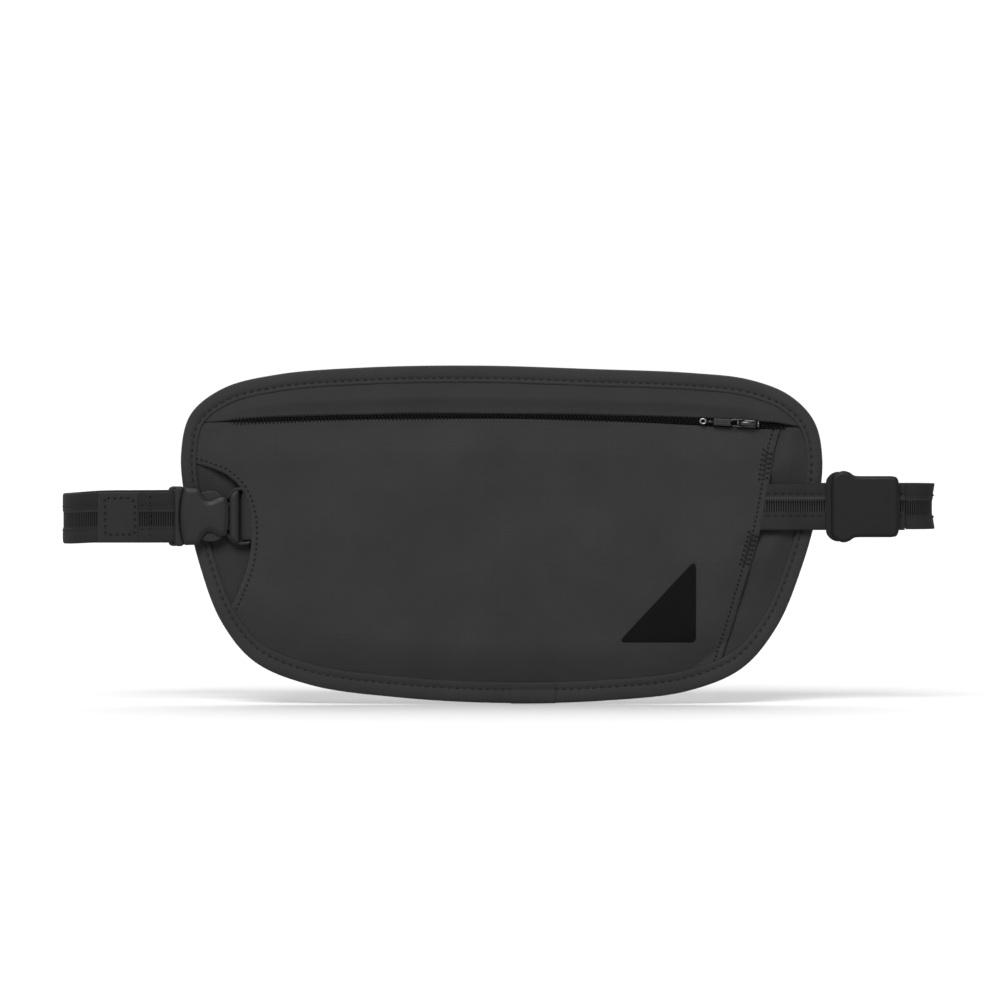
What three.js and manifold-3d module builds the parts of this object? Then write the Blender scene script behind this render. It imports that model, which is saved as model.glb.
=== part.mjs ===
// A slim travel money belt: a flat zipped pouch with a bound edge, a side-release buckle tucked into a
// cut-out on its left, and a waist strap that leaves on the right through a sliding adjuster.
// Millimetres, +Z up. The pouch faces -Y, and the origin is the centre of its flat back, which lies
// against the wearer. "Depth" below is the distance in front of that back face, so y = -depth.

import * as THREE from "three";
import { mergeVertices } from "three/addons/utils/BufferGeometryUtils.js";
import Module from "manifold-3d";

const wasm = await Module();
wasm.setup();

// ---------------------------------------------------------------- driving dimensions

const GAP = 0.3; // clearance between pieces that touch on the real belt

// The pouch's outline, as seen from the front, clockwise from the upper left: [x, z].
const POUCH_OUTLINE = [
  [-142.6, 36], [-138.3, 53.5], [-124, 65], [-100, 71.2], [-60, 74.4], [-10, 75.2], [40, 73.7],
  [85, 71.9], [110, 69], [128, 62], [139, 50.5], [142.7, 34], [140.2, 10], [133.4, -15],
  [122.5, -41], [107, -59.5], [83, -69.6], [45, -74], [0, -75], [-45, -72.6], [-85, -67],
  [-110, -56.6], [-124.6, -39], [-134.2, -14], [-140.6, 14],
];
const OUTLINE_STEPS = 72;

// Layers of the pouch, as depths [behind, in front].
const BINDING = { width: 6.2, back: 0.2, front: 3.8, cloth: 0.55, round: 0.8 };
const BACK_PANEL = { centre: [0, 0.9], flange: [0.85, 1.45] };
const LINER = { depths: [1.2, 1.6], inset: 10 };
const MID_FLANGE = [1.75, 2.2];
const FRONT_FLANGE = [2.7, 3.05];
const FLANGE_INSET = [2, 8.8]; // how far inside the outline the panels' edges run under the binding
const PANEL_INSET = 6.9; // where a panel comes out from under the binding
const FRONT_CLOTH = 0.8;
const MID_CLOTH = 0.6;
const CROWN = { low: 3.1, high: 9.4, width: 19 }; // the front panel's rise from the binding inwards
const ZIP_BAND = { depth: 5.6, above: 43, below: 34 }; // the front is flat and low along the zip
const WING = { low: 2.2, high: 3.3, edge: 11.5, width: 7 }; // the recessed panels beside the front panel

// The zip bows upwards on a long arc, given by its crest and its radius.
const ZIP_ARC = { x: -15, crest: 52.8, radius: 2260 };
const SLIT_HALF = 2.2;
const TAPE = { depths: [3.6, 4.0], width: 7.5, half: 125, inset: 14 };
const COIL = { depths: [4.3, 5.4], width: 1.1, half: 127 };
const CHAIN_HALF_GAP = 0.5;
const STOP_LENGTH = 2.6;
const STOP_HALF = 1.7;
const SLIDER = {
  x: 109.3, length: 9.6, nose: 0.28, post: [1.6, 4.2], postHalf: 0.25,
  back: [2.6, 3.3], backWidth: 6.4, front: [5.9, 6.7], frontWidth: 3.9,
};
const BRIDGE = { x: -0.4, width: 1.4, span: 6.6, foot: 1.1, crown: [7.9, 8.7] };
const PULL = {
  pivot: [-1.7, 7.35], bar: 0.42, arm: 0.5, height: 2.9, shoulder: -6.7, plate: [6.95, 7.75], tip: -21.5,
  grip: [-15.5, -7.9], gripThick: 2.1, gripOver: 0.7, eye: 0.65,
};

// The front panel's two free edges: [x, z] from top to bottom.
const SEAM = [
  [124, 45.6], [121, 36], [119.2, 25], [117.4, 14], [114.8, 1], [111.2, -12], [107, -26], [103, -40],
  [98.8, -53], [94, -68],
];
const GARAGE = [
  [-137.5, 31.8], [-129.7, 29.8], [-121.8, 26.4], [-115.2, 19.6], [-111.6, 9.5], [-110.9, -1],
  [-112.2, -12], [-116, -24.5], [-122.5, -39],
];
const GARAGE_PANEL_END = -88;
const GARAGE_PANEL_SPAN = [-46, 40];
const SIDE_PANEL_END = 92;
const SIDE_PANEL_FOOT = -66;

// The dense stitching that holds the side seam: the upper left corner, its length and its lean.
const BARTACK = { cloth: 0.4, width: 3.2 };
const BARTACK_UPPER = { x: 114.4, z: 32, length: 8.6, lean: 0.2 };
const BARTACK_LOWER = { x: 106.4, z: -3.4, length: 11.4, lean: 0.38 };

// The label: a right triangle with rounded corners.
const PATCH = { right: 86.0, low: -46.6, top: -15.2, left: 53.0, round: 2.6, cloth: 0.5 };

// Straps: [half height, centre z] at each end of the waist strap.
const LEFT_STRAP = { half: 11.2, z: 7.7 };
const RIGHT_STRAP = { half: 10.15, z: 12.6 };
const STRAP_CLOTH = 1.0;
const LEAD_DEPTH = 7.6; // centre of the strap that runs out over the pouch's right edge
const RETURN_DEPTH = 6.05; // centre of the layer that comes back behind it
const TAIL_DEPTH = 6.9; // centre of the strap on the left of the buckle
const LEFT_BEND = { x: -166.2, radius: 29.6 };
const RIGHT_BEND = { x: 179.4, radius: 12.6 };
const REAR = [[120, 34], [60, 49], [0, 56], [-60, 59], [-120, 57.5]]; // [x, y] of the strap behind
const LEAD_LEFT_END = -171; // the buckle carries the strap as far as here
const TAB = { from: -179, depth: 1.3 }; // where the folded end starts, in front of the strap

// The strap's hidden anchor: a rectangular wire ring on a sewn tab.
const RING = { x: 104, left: 96, depth: 6.2, wire: 0.9, half: 13.4 };
const ANCHOR_TAB = { end: 82, half: 9.6, cloth: 0.8 };

// The side-release buckle, about its own centre line.
const BUCKLE_Z = 8.3;
const SOCKET = {
  left: -147.7, mouth: -121.5, bulge: 0.7, half: 12.85, frameHalf: 13.5,
  body: [4.2, 11.4], frame: [6.2, 9.0], cavity: [5.8, 9.8], cavityHalf: 11.2, cavityEnd: -139,
  post: [-122.4, 6.9], mouthHalf: 8.3, slot: [-145.4, -142.9], slotHalf: 12.1,
};
// The upper edge of the socket's waist, where its window shows the spring arm.
const WAIST = [[-133.9, 12.85], [-132.2, 9.4], [-128.3, 6.9], [-124.4, 7.3], [-122.2, 8.3]];
const PLUG = {
  face: -120.4, base: -117, half: 12.6, body: [4.8, 10.8], rail: [5.3, 7.5], railWidth: 1.6,
  bar: [-113.4, -111.2],
  barDepths: [5.7, 7.1], tongueTip: -137.4, tongueHalf: 2.2, tongue: [6.4, 9.2],
};
const ARM = { pivot: [-119.1, 4.9], root: 1.4, depths: [6.3, 9.3] };
// The spring arm above the centre line: the stem's lower edge, the pad and back along the stem.
const ARM_OUTLINE = [
  [-119.2, 3.55], [-121.5, 3.8], [-127, 4.4], [-133.5, 5.4], [-137, 6.5], [-137.7, 7.8], [-136, 9.4],
  [-133.3, 10.8], [-131.4, 11.7], [-129.2, 11.9], [-126, 10.5], [-123.3, 8.4], [-123.1, 6.4],
  [-120.6, 6.3], [-119.2, 6.2],
];
const PLUG_WEB = { end: -91, half: 10.4, cloth: 0.9, depths: [5.05, 7.75] };

// The adjuster on the right.
const ADJUSTER = {
  left: 146.2, right: 176.4, half: 13.5, ear: 15.85, earX: 151.2, earEnd: 157.6, round: 3.2,
  frame: [8.5, 10.3], frameLeft: 144.6, cover: [10.6, 13.4], chamfer: 0.9, bar: 3.6, slotHalf: 10.9,
};
const HUMP = { depths: [10.6, 11.6], from: 154.2, to: 167.2 };

// ---------------------------------------------------------------- materials

const cloth = (hex, roughness = 0.85) =>
  new THREE.MeshStandardMaterial({ color: hex, roughness, metalness: 0 });
const MATERIALS = {
  ripstop: cloth(0x363636, 0.8),
  plainCloth: cloth(0x333333),
  binding: cloth(0x323232),
  backing: cloth(0x2c2c2e, 0.95),
  liner: cloth(0x6c6e72, 0.6),
  webbing: cloth(0x303030, 0.9),
  thread: cloth(0x101010, 0.9),
  tape: cloth(0x141414, 0.9),
  coil: cloth(0x0c0c0c, 0.5),
  plastic: cloth(0x2c2c2c, 0.5),
  label: cloth(0x171717, 0.7),
  metal: new THREE.MeshStandardMaterial({ color: 0x4a4a4a, roughness: 0.35, metalness: 1 }),
  grip: cloth(0x4c4c4c, 0.7),
};

// ---------------------------------------------------------------- shapes

const part = new THREE.Group();

function solidOf(geometry) {
  const g = geometry.index ? geometry.toNonIndexed() : geometry.clone();
  const bare = new THREE.BufferGeometry().setAttribute("position", g.getAttribute("position"));
  const merged = mergeVertices(bare, 1e-4);
  return new wasm.Manifold(new wasm.Mesh({
    numProp: 3,
    vertProperties: new Float32Array(merged.attributes.position.array),
    triVerts: new Uint32Array(merged.index.array),
  }));
}

// A solid from corner coordinates, three corners to a triangle.
function solidFrom(positions) {
  const geometry = new THREE.BufferGeometry();
  geometry.setAttribute("position", new THREE.BufferAttribute(new Float32Array(positions), 3));
  return solidOf(geometry);
}

function geometryOf(solid) {
  const mesh = solid.getMesh();
  const geometry = new THREE.BufferGeometry();
  geometry.setAttribute("position", new THREE.BufferAttribute(mesh.vertProperties, 3));
  geometry.setIndex(new THREE.BufferAttribute(mesh.triVerts, 1));
  return geometry;
}

function add(name, solid, material) {
  const mesh = new THREE.Mesh(geometryOf(solid), material);
  mesh.name = name;
  part.add(mesh);
  return mesh;
}

// A smooth line through hand-set points: [a, b] pairs, with steps + 1 points back.
function smooth(points, steps, closed = false) {
  const curve = new THREE.CatmullRomCurve3(
    points.map(([a, b]) => new THREE.Vector3(a, b, 0)), closed, "centripetal");
  const found = curve.getSpacedPoints(steps).map((p) => [p.x, p.y]);
  return closed ? found.slice(0, steps) : found;
}

const OUTLINE = smooth(POUCH_OUTLINE, OUTLINE_STEPS, true);

// The outline moved inwards by a distance. It runs clockwise, so inwards is to the right.
function inset(distance) {
  const n = OUTLINE.length;
  return OUTLINE.map(([x, z], i) => {
    const [ax, az] = OUTLINE[(i + n - 1) % n];
    const [bx, bz] = OUTLINE[(i + 1) % n];
    const length = Math.hypot(bx - ax, bz - az);
    return [x + ((bz - az) / length) * distance, z - ((bx - ax) / length) * distance];
  });
}

// How far a point inside the pouch is from its outline.
function edgeDistance(x, z) {
  let nearest = Infinity;
  OUTLINE.forEach(([ax, az], i) => {
    const [bx, bz] = OUTLINE[(i + 1) % OUTLINE.length];
    const along = ((x - ax) * (bx - ax) + (z - az) * (bz - az)) / ((bx - ax) ** 2 + (bz - az) ** 2);
    const t = Math.min(1, Math.max(0, along));
    nearest = Math.min(nearest, Math.hypot(x - ax - t * (bx - ax), z - az - t * (bz - az)));
  });
  return nearest;
}

// The points that turn a corner, without those that lie on a straight line between their neighbours.
function corners(points) {
  return points.filter(([x, z], i) => {
    const [ax, az] = points[(i + points.length - 1) % points.length];
    const [bx, bz] = points[(i + 1) % points.length];
    return Math.abs((x - ax) * (bz - az) - (z - az) * (bx - ax)) > 1e-4;
  });
}

const THROUGH = [-1, 20]; // depths of a cutter that goes through the whole belt

// A flat plate of an [x, z] outline, or of a shape with holes, between two depths.
function plate(outline, [behind, front]) {
  const shape = outline instanceof THREE.Shape
    ? outline
    : new THREE.Shape(corners(outline).map(([x, z]) => new THREE.Vector2(x, z)));
  const settings = { depth: front - behind, bevelEnabled: false, curveSegments: 8 };
  const geometry = new THREE.ExtrudeGeometry(shape, settings);
  return solidOf(geometry.translate(0, 0, behind).rotateX(Math.PI / 2));
}

// A rectangle's corners from its limits, and a block from three pairs of limits.
const rectangle = ([x0, x1], [z0, z1]) => [[x0, z0], [x1, z0], [x1, z1], [x0, z1]];
const block = (xs, zs, depths) => plate(rectangle(xs, zs), depths);

const clamp = (t) => Math.min(1, Math.max(0, t));
const rise = (t) => Math.sin((clamp(t) * Math.PI) / 2);

// The front panel's depth at a point: puffed up from the binding, and flat along the zip.
function frontDepth(x, z) {
  const inwards = (edgeDistance(x, z) - PANEL_INSET) / CROWN.width;
  const crown = CROWN.low + (CROWN.high - CROWN.low) * rise(inwards);
  const down = clamp((ZIP_BAND.above - z) / (ZIP_BAND.above - ZIP_BAND.below));
  return Math.min(crown, ZIP_BAND.depth + (CROWN.high - ZIP_BAND.depth) * down);
}

// The recessed panels' depth at a point.
const wingDepth = (x, z) =>
  WING.low + (WING.high - WING.low) * rise((edgeDistance(x, z) - WING.edge) / WING.width);

// A curved sheet over a grid of [x, z] lines, whose front face is at depthAt(x, z).
function sheet(xs, zs, depthAt, thickness) {
  const positions = [];
  const quad = (a, b, c, d) => positions.push(...a, ...b, ...c, ...a, ...c, ...d);
  const face = (i, j) => [xs[i], -depthAt(xs[i], zs[j]), zs[j]];
  const rear = (i, j) => [xs[i], thickness - depthAt(xs[i], zs[j]), zs[j]];
  const right = xs.length - 1;
  const top = zs.length - 1;
  for (let i = 0; i < right; i++) {
    for (let j = 0; j < top; j++) {
      quad(face(i, j), face(i + 1, j), face(i + 1, j + 1), face(i, j + 1));
      quad(rear(i, j), rear(i, j + 1), rear(i + 1, j + 1), rear(i + 1, j));
    }
    quad(face(i, 0), rear(i, 0), rear(i + 1, 0), face(i + 1, 0));
    quad(face(i, top), face(i + 1, top), rear(i + 1, top), rear(i, top));
  }
  for (let j = 0; j < top; j++) {
    quad(face(0, j), face(0, j + 1), rear(0, j + 1), rear(0, j));
    quad(face(right, j), rear(right, j), rear(right, j + 1), face(right, j + 1));
  }
  return solidFrom(positions);
}

// A strap: a flat band standing on edge along a path of {x, y, z, half}, of a given thickness.
function ribbon(path, thickness) {
  const rings = path.map((p, i) => {
    const a = path[Math.max(0, i - 1)];
    const b = path[Math.min(path.length - 1, i + 1)];
    const length = Math.hypot(b.x - a.x, b.y - a.y);
    const nx = (-(b.y - a.y) / length) * (thickness / 2);
    const ny = ((b.x - a.x) / length) * (thickness / 2);
    return [
      [p.x + nx, p.y + ny, p.z - p.half], [p.x - nx, p.y - ny, p.z - p.half],
      [p.x - nx, p.y - ny, p.z + p.half], [p.x + nx, p.y + ny, p.z + p.half],
    ];
  });
  return loft(rings, false);
}

// A solid from a row of rings with equal numbers of points; closed joins the last ring to the first.
function loft(rings, closed) {
  const positions = [];
  const triangle = (a, b, c) => positions.push(...a, ...b, ...c);
  const count = rings[0].length;
  const bands = closed ? rings.length : rings.length - 1;
  for (let i = 0; i < bands; i++) {
    const a = rings[i];
    const b = rings[(i + 1) % rings.length];
    for (let k = 0; k < count; k++) {
      const m = (k + 1) % count;
      triangle(a[k], b[k], b[m]);
      triangle(a[k], b[m], a[m]);
    }
  }
  if (!closed) {
    const first = rings[0];
    const final = rings[rings.length - 1];
    for (let k = 1; k < count - 1; k++) {
      triangle(first[0], first[k], first[k + 1]);
      triangle(final[0], final[k + 1], final[k]);
    }
  }
  const solid = solidFrom(positions);
  if (solid.volume() >= 0) return solid;
  const turned = [];
  for (let i = 0; i < positions.length; i += 9) {
    const [a, b, c] = [i, i + 3, i + 6].map((k) => positions.slice(k, k + 3));
    turned.push(...a, ...c, ...b);
  }
  return solidFrom(turned);
}

// A round rod along Z.
function rod(x, depth, radius, [z0, z1], sides = 12) {
  const geometry = new THREE.CylinderGeometry(radius, radius, z1 - z0, sides);
  return solidOf(geometry.rotateX(Math.PI / 2).translate(x, -depth, (z0 + z1) / 2));
}

// ---------------------------------------------------------------- the pouch

const lineBetween = (from, to, count) =>
  Array.from({ length: count + 1 }, (_, i) => from + ((to - from) * i) / count);
const SEAM_LINE = smooth(SEAM, 20);
const GARAGE_LINE = smooth(GARAGE, 20);

// Points on a line that runs beside the zip, a distance above or below it, from left to right.
const zipZ = (x) =>
  ZIP_ARC.crest - ZIP_ARC.radius + Math.sqrt(ZIP_ARC.radius ** 2 - (x - ZIP_ARC.x) ** 2);
const besideZip = (above, [from, to], steps = 16) =>
  lineBetween(from, to, steps).map((x) => [x, zipZ(x) + above]);

// A flange ring under the binding, cut to a region of the pouch.
function flange(depths, region) {
  const ring = plate(inset(FLANGE_INSET[0]), depths).subtract(plate(inset(FLANGE_INSET[1]), THROUGH));
  return ring.intersect(region);
}

// A limit beyond the pouch on every side, for the regions that its panels are cut to.
const BEYOND = { x: 150, z: 90 };

// The grid that the panels are drawn on, finer where they curve.
const GRID_X = [
  -146, -136, -130, -124, -117, -108, -96, -80, -48, -16, 16, 48, 80, 96, 108, 116, 124, 131, 138, 146,
];
const GRID_Z = [
  -78, -68, -62, -55, -46, -34, -16, 0, 16, ZIP_BAND.below, ZIP_BAND.above, 46, 54, 60, 66, 72, 78,
];

// A panel cut to a region, with its flange under the binding.
function panel(region, depthAt, thickness, flangeDepths) {
  const open = plate(inset(PANEL_INSET), THROUGH);
  const curved = sheet(GRID_X, GRID_Z, depthAt, thickness).intersect(open).intersect(region);
  return curved.add(flange(flangeDepths, region));
}

function addPouch() {
  const backCentre = plate(inset(PANEL_INSET + 0.2), BACK_PANEL.centre);
  const everywhere = plate(inset(0), THROUGH);
  add("back_panel", backCentre.add(flange(BACK_PANEL.flange, everywhere)), MATERIALS.backing);
  add("shielding_liner", plate(inset(LINER.inset), LINER.depths), MATERIALS.liner);

  // The front panel fills the pouch's front below the zip, between the buckle cut-out and the side seam.
  const front = plate([
    ...GARAGE_LINE, [GARAGE_LINE.at(-1)[0] + 20, -BEYOND.z], [SEAM_LINE.at(-1)[0], -BEYOND.z],
    ...SEAM_LINE.slice().reverse(), ...besideZip(-SLIT_HALF, [-BEYOND.x, SEAM[0][0] + GAP]).reverse(),
  ], THROUGH);
  add("front_panel", panel(front, frontDepth, FRONT_CLOTH, FRONT_FLANGE), MATERIALS.ripstop);

  const yoke = plate([
    ...besideZip(SLIT_HALF, [-BEYOND.x, BEYOND.x]), [BEYOND.x, BEYOND.z], [-BEYOND.x, BEYOND.z],
  ], THROUGH);
  add("top_yoke", panel(yoke, frontDepth, FRONT_CLOTH, FRONT_FLANGE), MATERIALS.plainCloth);

  const sideTop = besideZip(-SLIDER.backWidth / 2 - GAP, [SIDE_PANEL_END, BEYOND.x], 4).reverse();
  const side = plate([
    [SIDE_PANEL_END, SIDE_PANEL_FOOT], [BEYOND.x, SIDE_PANEL_FOOT], ...sideTop,
  ], THROUGH);
  add("side_panel", panel(side, wingDepth, MID_CLOTH, MID_FLANGE), MATERIALS.plainCloth);

  const garage = block([-BEYOND.x, GARAGE_PANEL_END], GARAGE_PANEL_SPAN, THROUGH);
  add("garage_panel", panel(garage, wingDepth, MID_CLOTH, MID_FLANGE), MATERIALS.plainCloth);

  add("edge_binding", bindingSolid(), MATERIALS.binding);
  add("label_patch", labelSolid(), MATERIALS.label);
  add("bartack_upper", bartack(BARTACK_UPPER), MATERIALS.thread);
  add("bartack_lower", bartack(BARTACK_LOWER), MATERIALS.thread);
}

// The binding: a strip folded over the pouch's edge, a U in section.
function bindingSolid() {
  const { width, back, front, cloth: thick, round } = BINDING;
  const fold = round + 0.1;
  const rear = back + thick - 0.05;
  const section = [
    [width, back], [round, back], [0, back + round], [0, front - round], [round, front], [width, front],
    [width, front - thick], [fold, front - thick], [fold, rear], [width, rear],
  ];
  const loops = section.map(([distance]) => inset(distance));
  const corner = (i) => ([, depth], k) => [loops[k][i][0], -depth, loops[k][i][1]];
  const rings = OUTLINE.map((_, i) => section.map(corner(i)));
  return loft(rings, true);
}

// The label: a triangle that lies on the front panel's flat middle.
function labelSolid() {
  const { right, low, top, left, round, cloth: thick } = PATCH;
  const shape = new THREE.Shape();
  shape.moveTo(left + round * 1.2, low);
  shape.lineTo(right - round, low);
  shape.quadraticCurveTo(right, low, right, low + round);
  shape.lineTo(right, top - round * 1.6);
  shape.quadraticCurveTo(right, top, right - round * 1.3, top - round * 0.7);
  shape.lineTo(left + round * 0.4, low + round * 1.2);
  shape.quadraticCurveTo(left - round * 0.5, low, left + round * 1.2, low);
  return plate(shape, [CROWN.high + GAP, CROWN.high + GAP + thick]);
}

// A leaning block of dense stitching on the side seam.
function bartack({ x, z, length, lean }) {
  const slope = lean * length;
  const { width, cloth: thick } = BARTACK;
  const outline = [[x, z], [x + width, z], [x + width - slope, z - length], [x - slope, z - length]];
  return plate(outline, [CROWN.high + GAP, CROWN.high + GAP + thick]);
}

// ---------------------------------------------------------------- the zip

// A strip that follows the zip, between two distances above it.
function zipStrip([low, high], half, depths) {
  return plate([...besideZip(low, [-half, half]), ...besideZip(high, [-half, half]).reverse()], depths);
}

const inOrder = (pair) => pair.sort((a, b) => a - b);

function addZip() {
  const inside = plate(inset(TAPE.inset), THROUGH);
  for (const [name, side] of [["upper", 1], ["lower", -1]]) {
    const span = (width) => inOrder([side * CHAIN_HALF_GAP, side * (CHAIN_HALF_GAP + width)]);
    const tape = zipStrip(span(TAPE.width), TAPE.half, TAPE.depths).intersect(inside);
    add(`zip_tape_${name}`, tape, MATERIALS.tape);
    add(`zip_coil_${name}`, zipStrip(span(COIL.width), COIL.half, COIL.depths), MATERIALS.coil);
  }
  for (const [name, side] of [["closed", 1], ["open", -1]]) {
    const start = COIL.half + GAP;
    const xs = inOrder([side * start, side * (start + STOP_LENGTH)]);
    const z = zipZ(xs[0]);
    add(`zip_stop_${name}`, block(xs, [z - STOP_HALF, z + STOP_HALF], COIL.depths), MATERIALS.metal);
  }

  // The slider and its pull are drawn about the slider's centre, and then set on the arc.
  for (const mesh of [add("zip_slider", sliderSolid(), MATERIALS.metal), ...addPull()]) {
    mesh.position.set(SLIDER.x, 0, zipZ(SLIDER.x));
    mesh.rotation.y = Math.asin((SLIDER.x - ZIP_ARC.x) / ZIP_ARC.radius);
  }
}

// The slider: a plate behind the tapes, one in front of the coils, a post between them and a bridge.
function sliderSolid() {
  const x = SLIDER.length / 2;
  const plateAt = (width, depths) => {
    const z = width / 2;
    const nose = width * SLIDER.nose;
    return plate([
      [nose - x, -z], [x - nose, -z], [x, nose - z], [x, z - nose],
      [x - nose, z], [nose - x, z], [-x, z - nose], [-x, nose - z],
    ], depths);
  };
  const postDepths = [SLIDER.back[1] - 0.1, SLIDER.front[0] + 0.1];
  const post = block(SLIDER.post, [-SLIDER.postHalf, SLIDER.postHalf], postDepths);
  const [left, right] = [BRIDGE.x - BRIDGE.span / 2, BRIDGE.x + BRIDGE.span / 2];
  const zs = [-BRIDGE.width / 2, BRIDGE.width / 2];
  const legs = [SLIDER.front[1] - 0.1, BRIDGE.crown[0] + 0.1];
  const bridge = block([left, right], zs, BRIDGE.crown)
    .add(block([left, left + BRIDGE.foot], zs, legs))
    .add(block([right - BRIDGE.foot, right], zs, legs));
  const plates = plateAt(SLIDER.backWidth, SLIDER.back).add(plateAt(SLIDER.frontWidth, SLIDER.front));
  return plates.add(post).add(bridge);
}

// The pull: a crossbar under the bridge, two arms past it, and a plate with an eye at its end.
function addPull() {
  const { pivot: [px, pd], arm, shoulder, tip, height } = PULL;
  const half = height / 2;
  const inner = half - arm;
  const outline = new THREE.Shape();
  outline.moveTo(px, -half);
  outline.lineTo(px, -inner);
  outline.lineTo(shoulder, -inner);
  outline.lineTo(shoulder, inner);
  outline.lineTo(px, inner);
  outline.lineTo(px, half);
  outline.lineTo(tip + half, half);
  outline.quadraticCurveTo(tip, half, tip, 0);
  outline.quadraticCurveTo(tip, -half, tip + half, -half);
  const eye = new THREE.Path();
  eye.absarc(tip + half, 0, PULL.eye, 0, Math.PI * 2, true);
  outline.holes.push(eye);
  const crossbar = rod(px, pd, PULL.bar, [-half, half]);

  const [g0, g1] = PULL.grip;
  const depths = (thickness) => [pd - thickness / 2, pd + thickness / 2];
  const reach = half + PULL.gripOver;
  const sleeve = block([g0, g1], [-reach, reach], depths(PULL.gripThick));
  const bore = block([g0 - 1, g1 + 1], [-half - 0.05, half + 0.05], depths(0.9));
  return [
    add("zip_pull", plate(outline, PULL.plate).add(crossbar), MATERIALS.metal),
    add("zip_pull_grip", sleeve.subtract(bore), MATERIALS.grip),
  ];
}

// ---------------------------------------------------------------- the buckle

const mirrorZ = (points) => points.map(([x, z]) => [x, 2 * BUCKLE_Z - z]).reverse();
const raise = (points) => points.map(([x, z]) => [x, z + BUCKLE_Z]);

// A profile that is the same above and below the buckle's centre line, given its upper half.
const symmetric = (upper) => [...raise(upper), ...mirrorZ(raise(upper))];

// The socket: a body with two windows at its waist, a cavity for the arms, and a slotted strap bar.
function socketSolid() {
  const s = SOCKET;
  const body = symmetric([
    [-142.3, 8], [-140.9, s.half], ...smooth(WAIST, 10), [s.mouth, s.mouthHalf], [s.mouth + s.bulge, 0.01],
  ]);
  const frame = symmetric([
    [s.left, 11], [s.left + 0.8, 12.8], [s.left + 2.4, s.frameHalf], [-138.5, s.frameHalf - 1.6],
  ]);
  const cavity = symmetric([
    [s.cavityEnd, s.cavityHalf], [s.post[0], s.cavityHalf], [s.post[0], s.post[1]], [s.mouth + 3, s.post[1]],
  ]);
  const slot = symmetric([[s.slot[0], s.slotHalf], [s.slot[1], s.slotHalf]]);
  return plate(body, s.body).add(plate(frame, s.frame))
    .subtract(plate(cavity, s.cavity)).subtract(plate(slot, THROUGH));
}

// The plug: a base with a seat for each spring arm, a middle tongue, and two rails with a strap bar.
function plugSolid() {
  const p = PLUG;
  const base = plate(symmetric([[p.face, 8.2], [-119.2, 10.6], [p.base, p.half]]), p.body);
  const railsInner = p.half - p.railWidth;
  const rails = plate(symmetric([[p.base - 0.6, p.half], [p.bar[1], p.half]]), p.rail)
    .subtract(plate(symmetric([[p.base, railsInner], [p.bar[1] + 1, railsInner]]), THROUGH));
  const bar = plate(symmetric([[p.bar[0], railsInner + 0.3], [p.bar[1], railsInner + 0.3]]), p.barDepths);
  const tongue = plate(symmetric([
    [p.tongueTip, 1.2], [p.tongueTip + 1.2, p.tongueHalf], [p.face + 0.6, p.tongueHalf],
  ]), p.tongue);
  const solid = base.add(rails).add(bar).add(tongue);
  return solid.subtract(armSeat(1)).subtract(armSeat(-1));
}

// The room that a spring arm's root turns in, open towards the socket.
function armSeat(side) {
  const z = BUCKLE_Z + side * ARM.pivot[1];
  const radius = ARM.root + GAP;
  const depths = [ARM.depths[0] - GAP, ARM.depths[1] + GAP];
  const mouth = block([PLUG.face - 1, ARM.pivot[0]], [z - radius, z + radius], depths);
  return plate(circle(ARM.pivot[0], z, radius), depths).add(mouth);
}

function circle(x, z, radius, sides = 16) {
  return Array.from({ length: sides }, (_, i) => {
    const angle = (i / sides) * Math.PI * 2;
    return [x + Math.cos(angle) * radius, z + Math.sin(angle) * radius];
  });
}

// A spring arm: a round root seated in the plug, a thin stem and a pad that fills the socket's window.
function armSolid(side) {
  const upper = raise(ARM_OUTLINE);
  const outline = side > 0 ? upper : mirrorZ(upper);
  const root = circle(ARM.pivot[0], BUCKLE_Z + side * ARM.pivot[1], ARM.root);
  return plate(outline, ARM.depths).add(plate(root, ARM.depths));
}

function addBuckle() {
  add("buckle_socket", socketSolid(), MATERIALS.plastic);
  add("buckle_plug", plugSolid(), MATERIALS.plastic);
  add("release_arm_upper", armSolid(1), MATERIALS.plastic);
  add("release_arm_lower", armSolid(-1), MATERIALS.plastic);

  // The short webbing that loops round the plug's bar and is sewn in behind the front panel.
  const [back, front] = PLUG_WEB.depths;
  const middle = (back + front) / 2;
  const radius = (front - back) / 2;
  const bendX = PLUG.bar[0] + 0.1;
  const path = [[PLUG_WEB.end, front], ...halfTurn(bendX, middle, radius), [PLUG_WEB.end, back]]
    .map(([x, depth]) => ({ x, y: -depth, z: BUCKLE_Z, half: PLUG_WEB.half }));
  add("plug_webbing", ribbon(path, PLUG_WEB.cloth), MATERIALS.webbing);
}

// ---------------------------------------------------------------- the strap

// Half a turn round an upright bar, from its front to its back: [x, depth] pairs, open towards +X.
function halfTurn(x, depth, reach) {
  return lineBetween(90, 270, 8).map((angle) => {
    const a = (angle * Math.PI) / 180;
    return [x + Math.cos(a) * reach, depth + Math.sin(a) * reach];
  });
}

// The strap narrows and rises a little from the buckle's side to the adjuster's side.
function strapPoint(x, y) {
  const share = clamp((x - LEFT_BEND.x) / (RIGHT_BEND.x - LEFT_BEND.x));
  const blend = share * share * (3 - 2 * share);
  return {
    x, y,
    z: LEFT_STRAP.z + (RIGHT_STRAP.z - LEFT_STRAP.z) * blend,
    half: LEFT_STRAP.half + (RIGHT_STRAP.half - LEFT_STRAP.half) * blend,
  };
}

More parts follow.
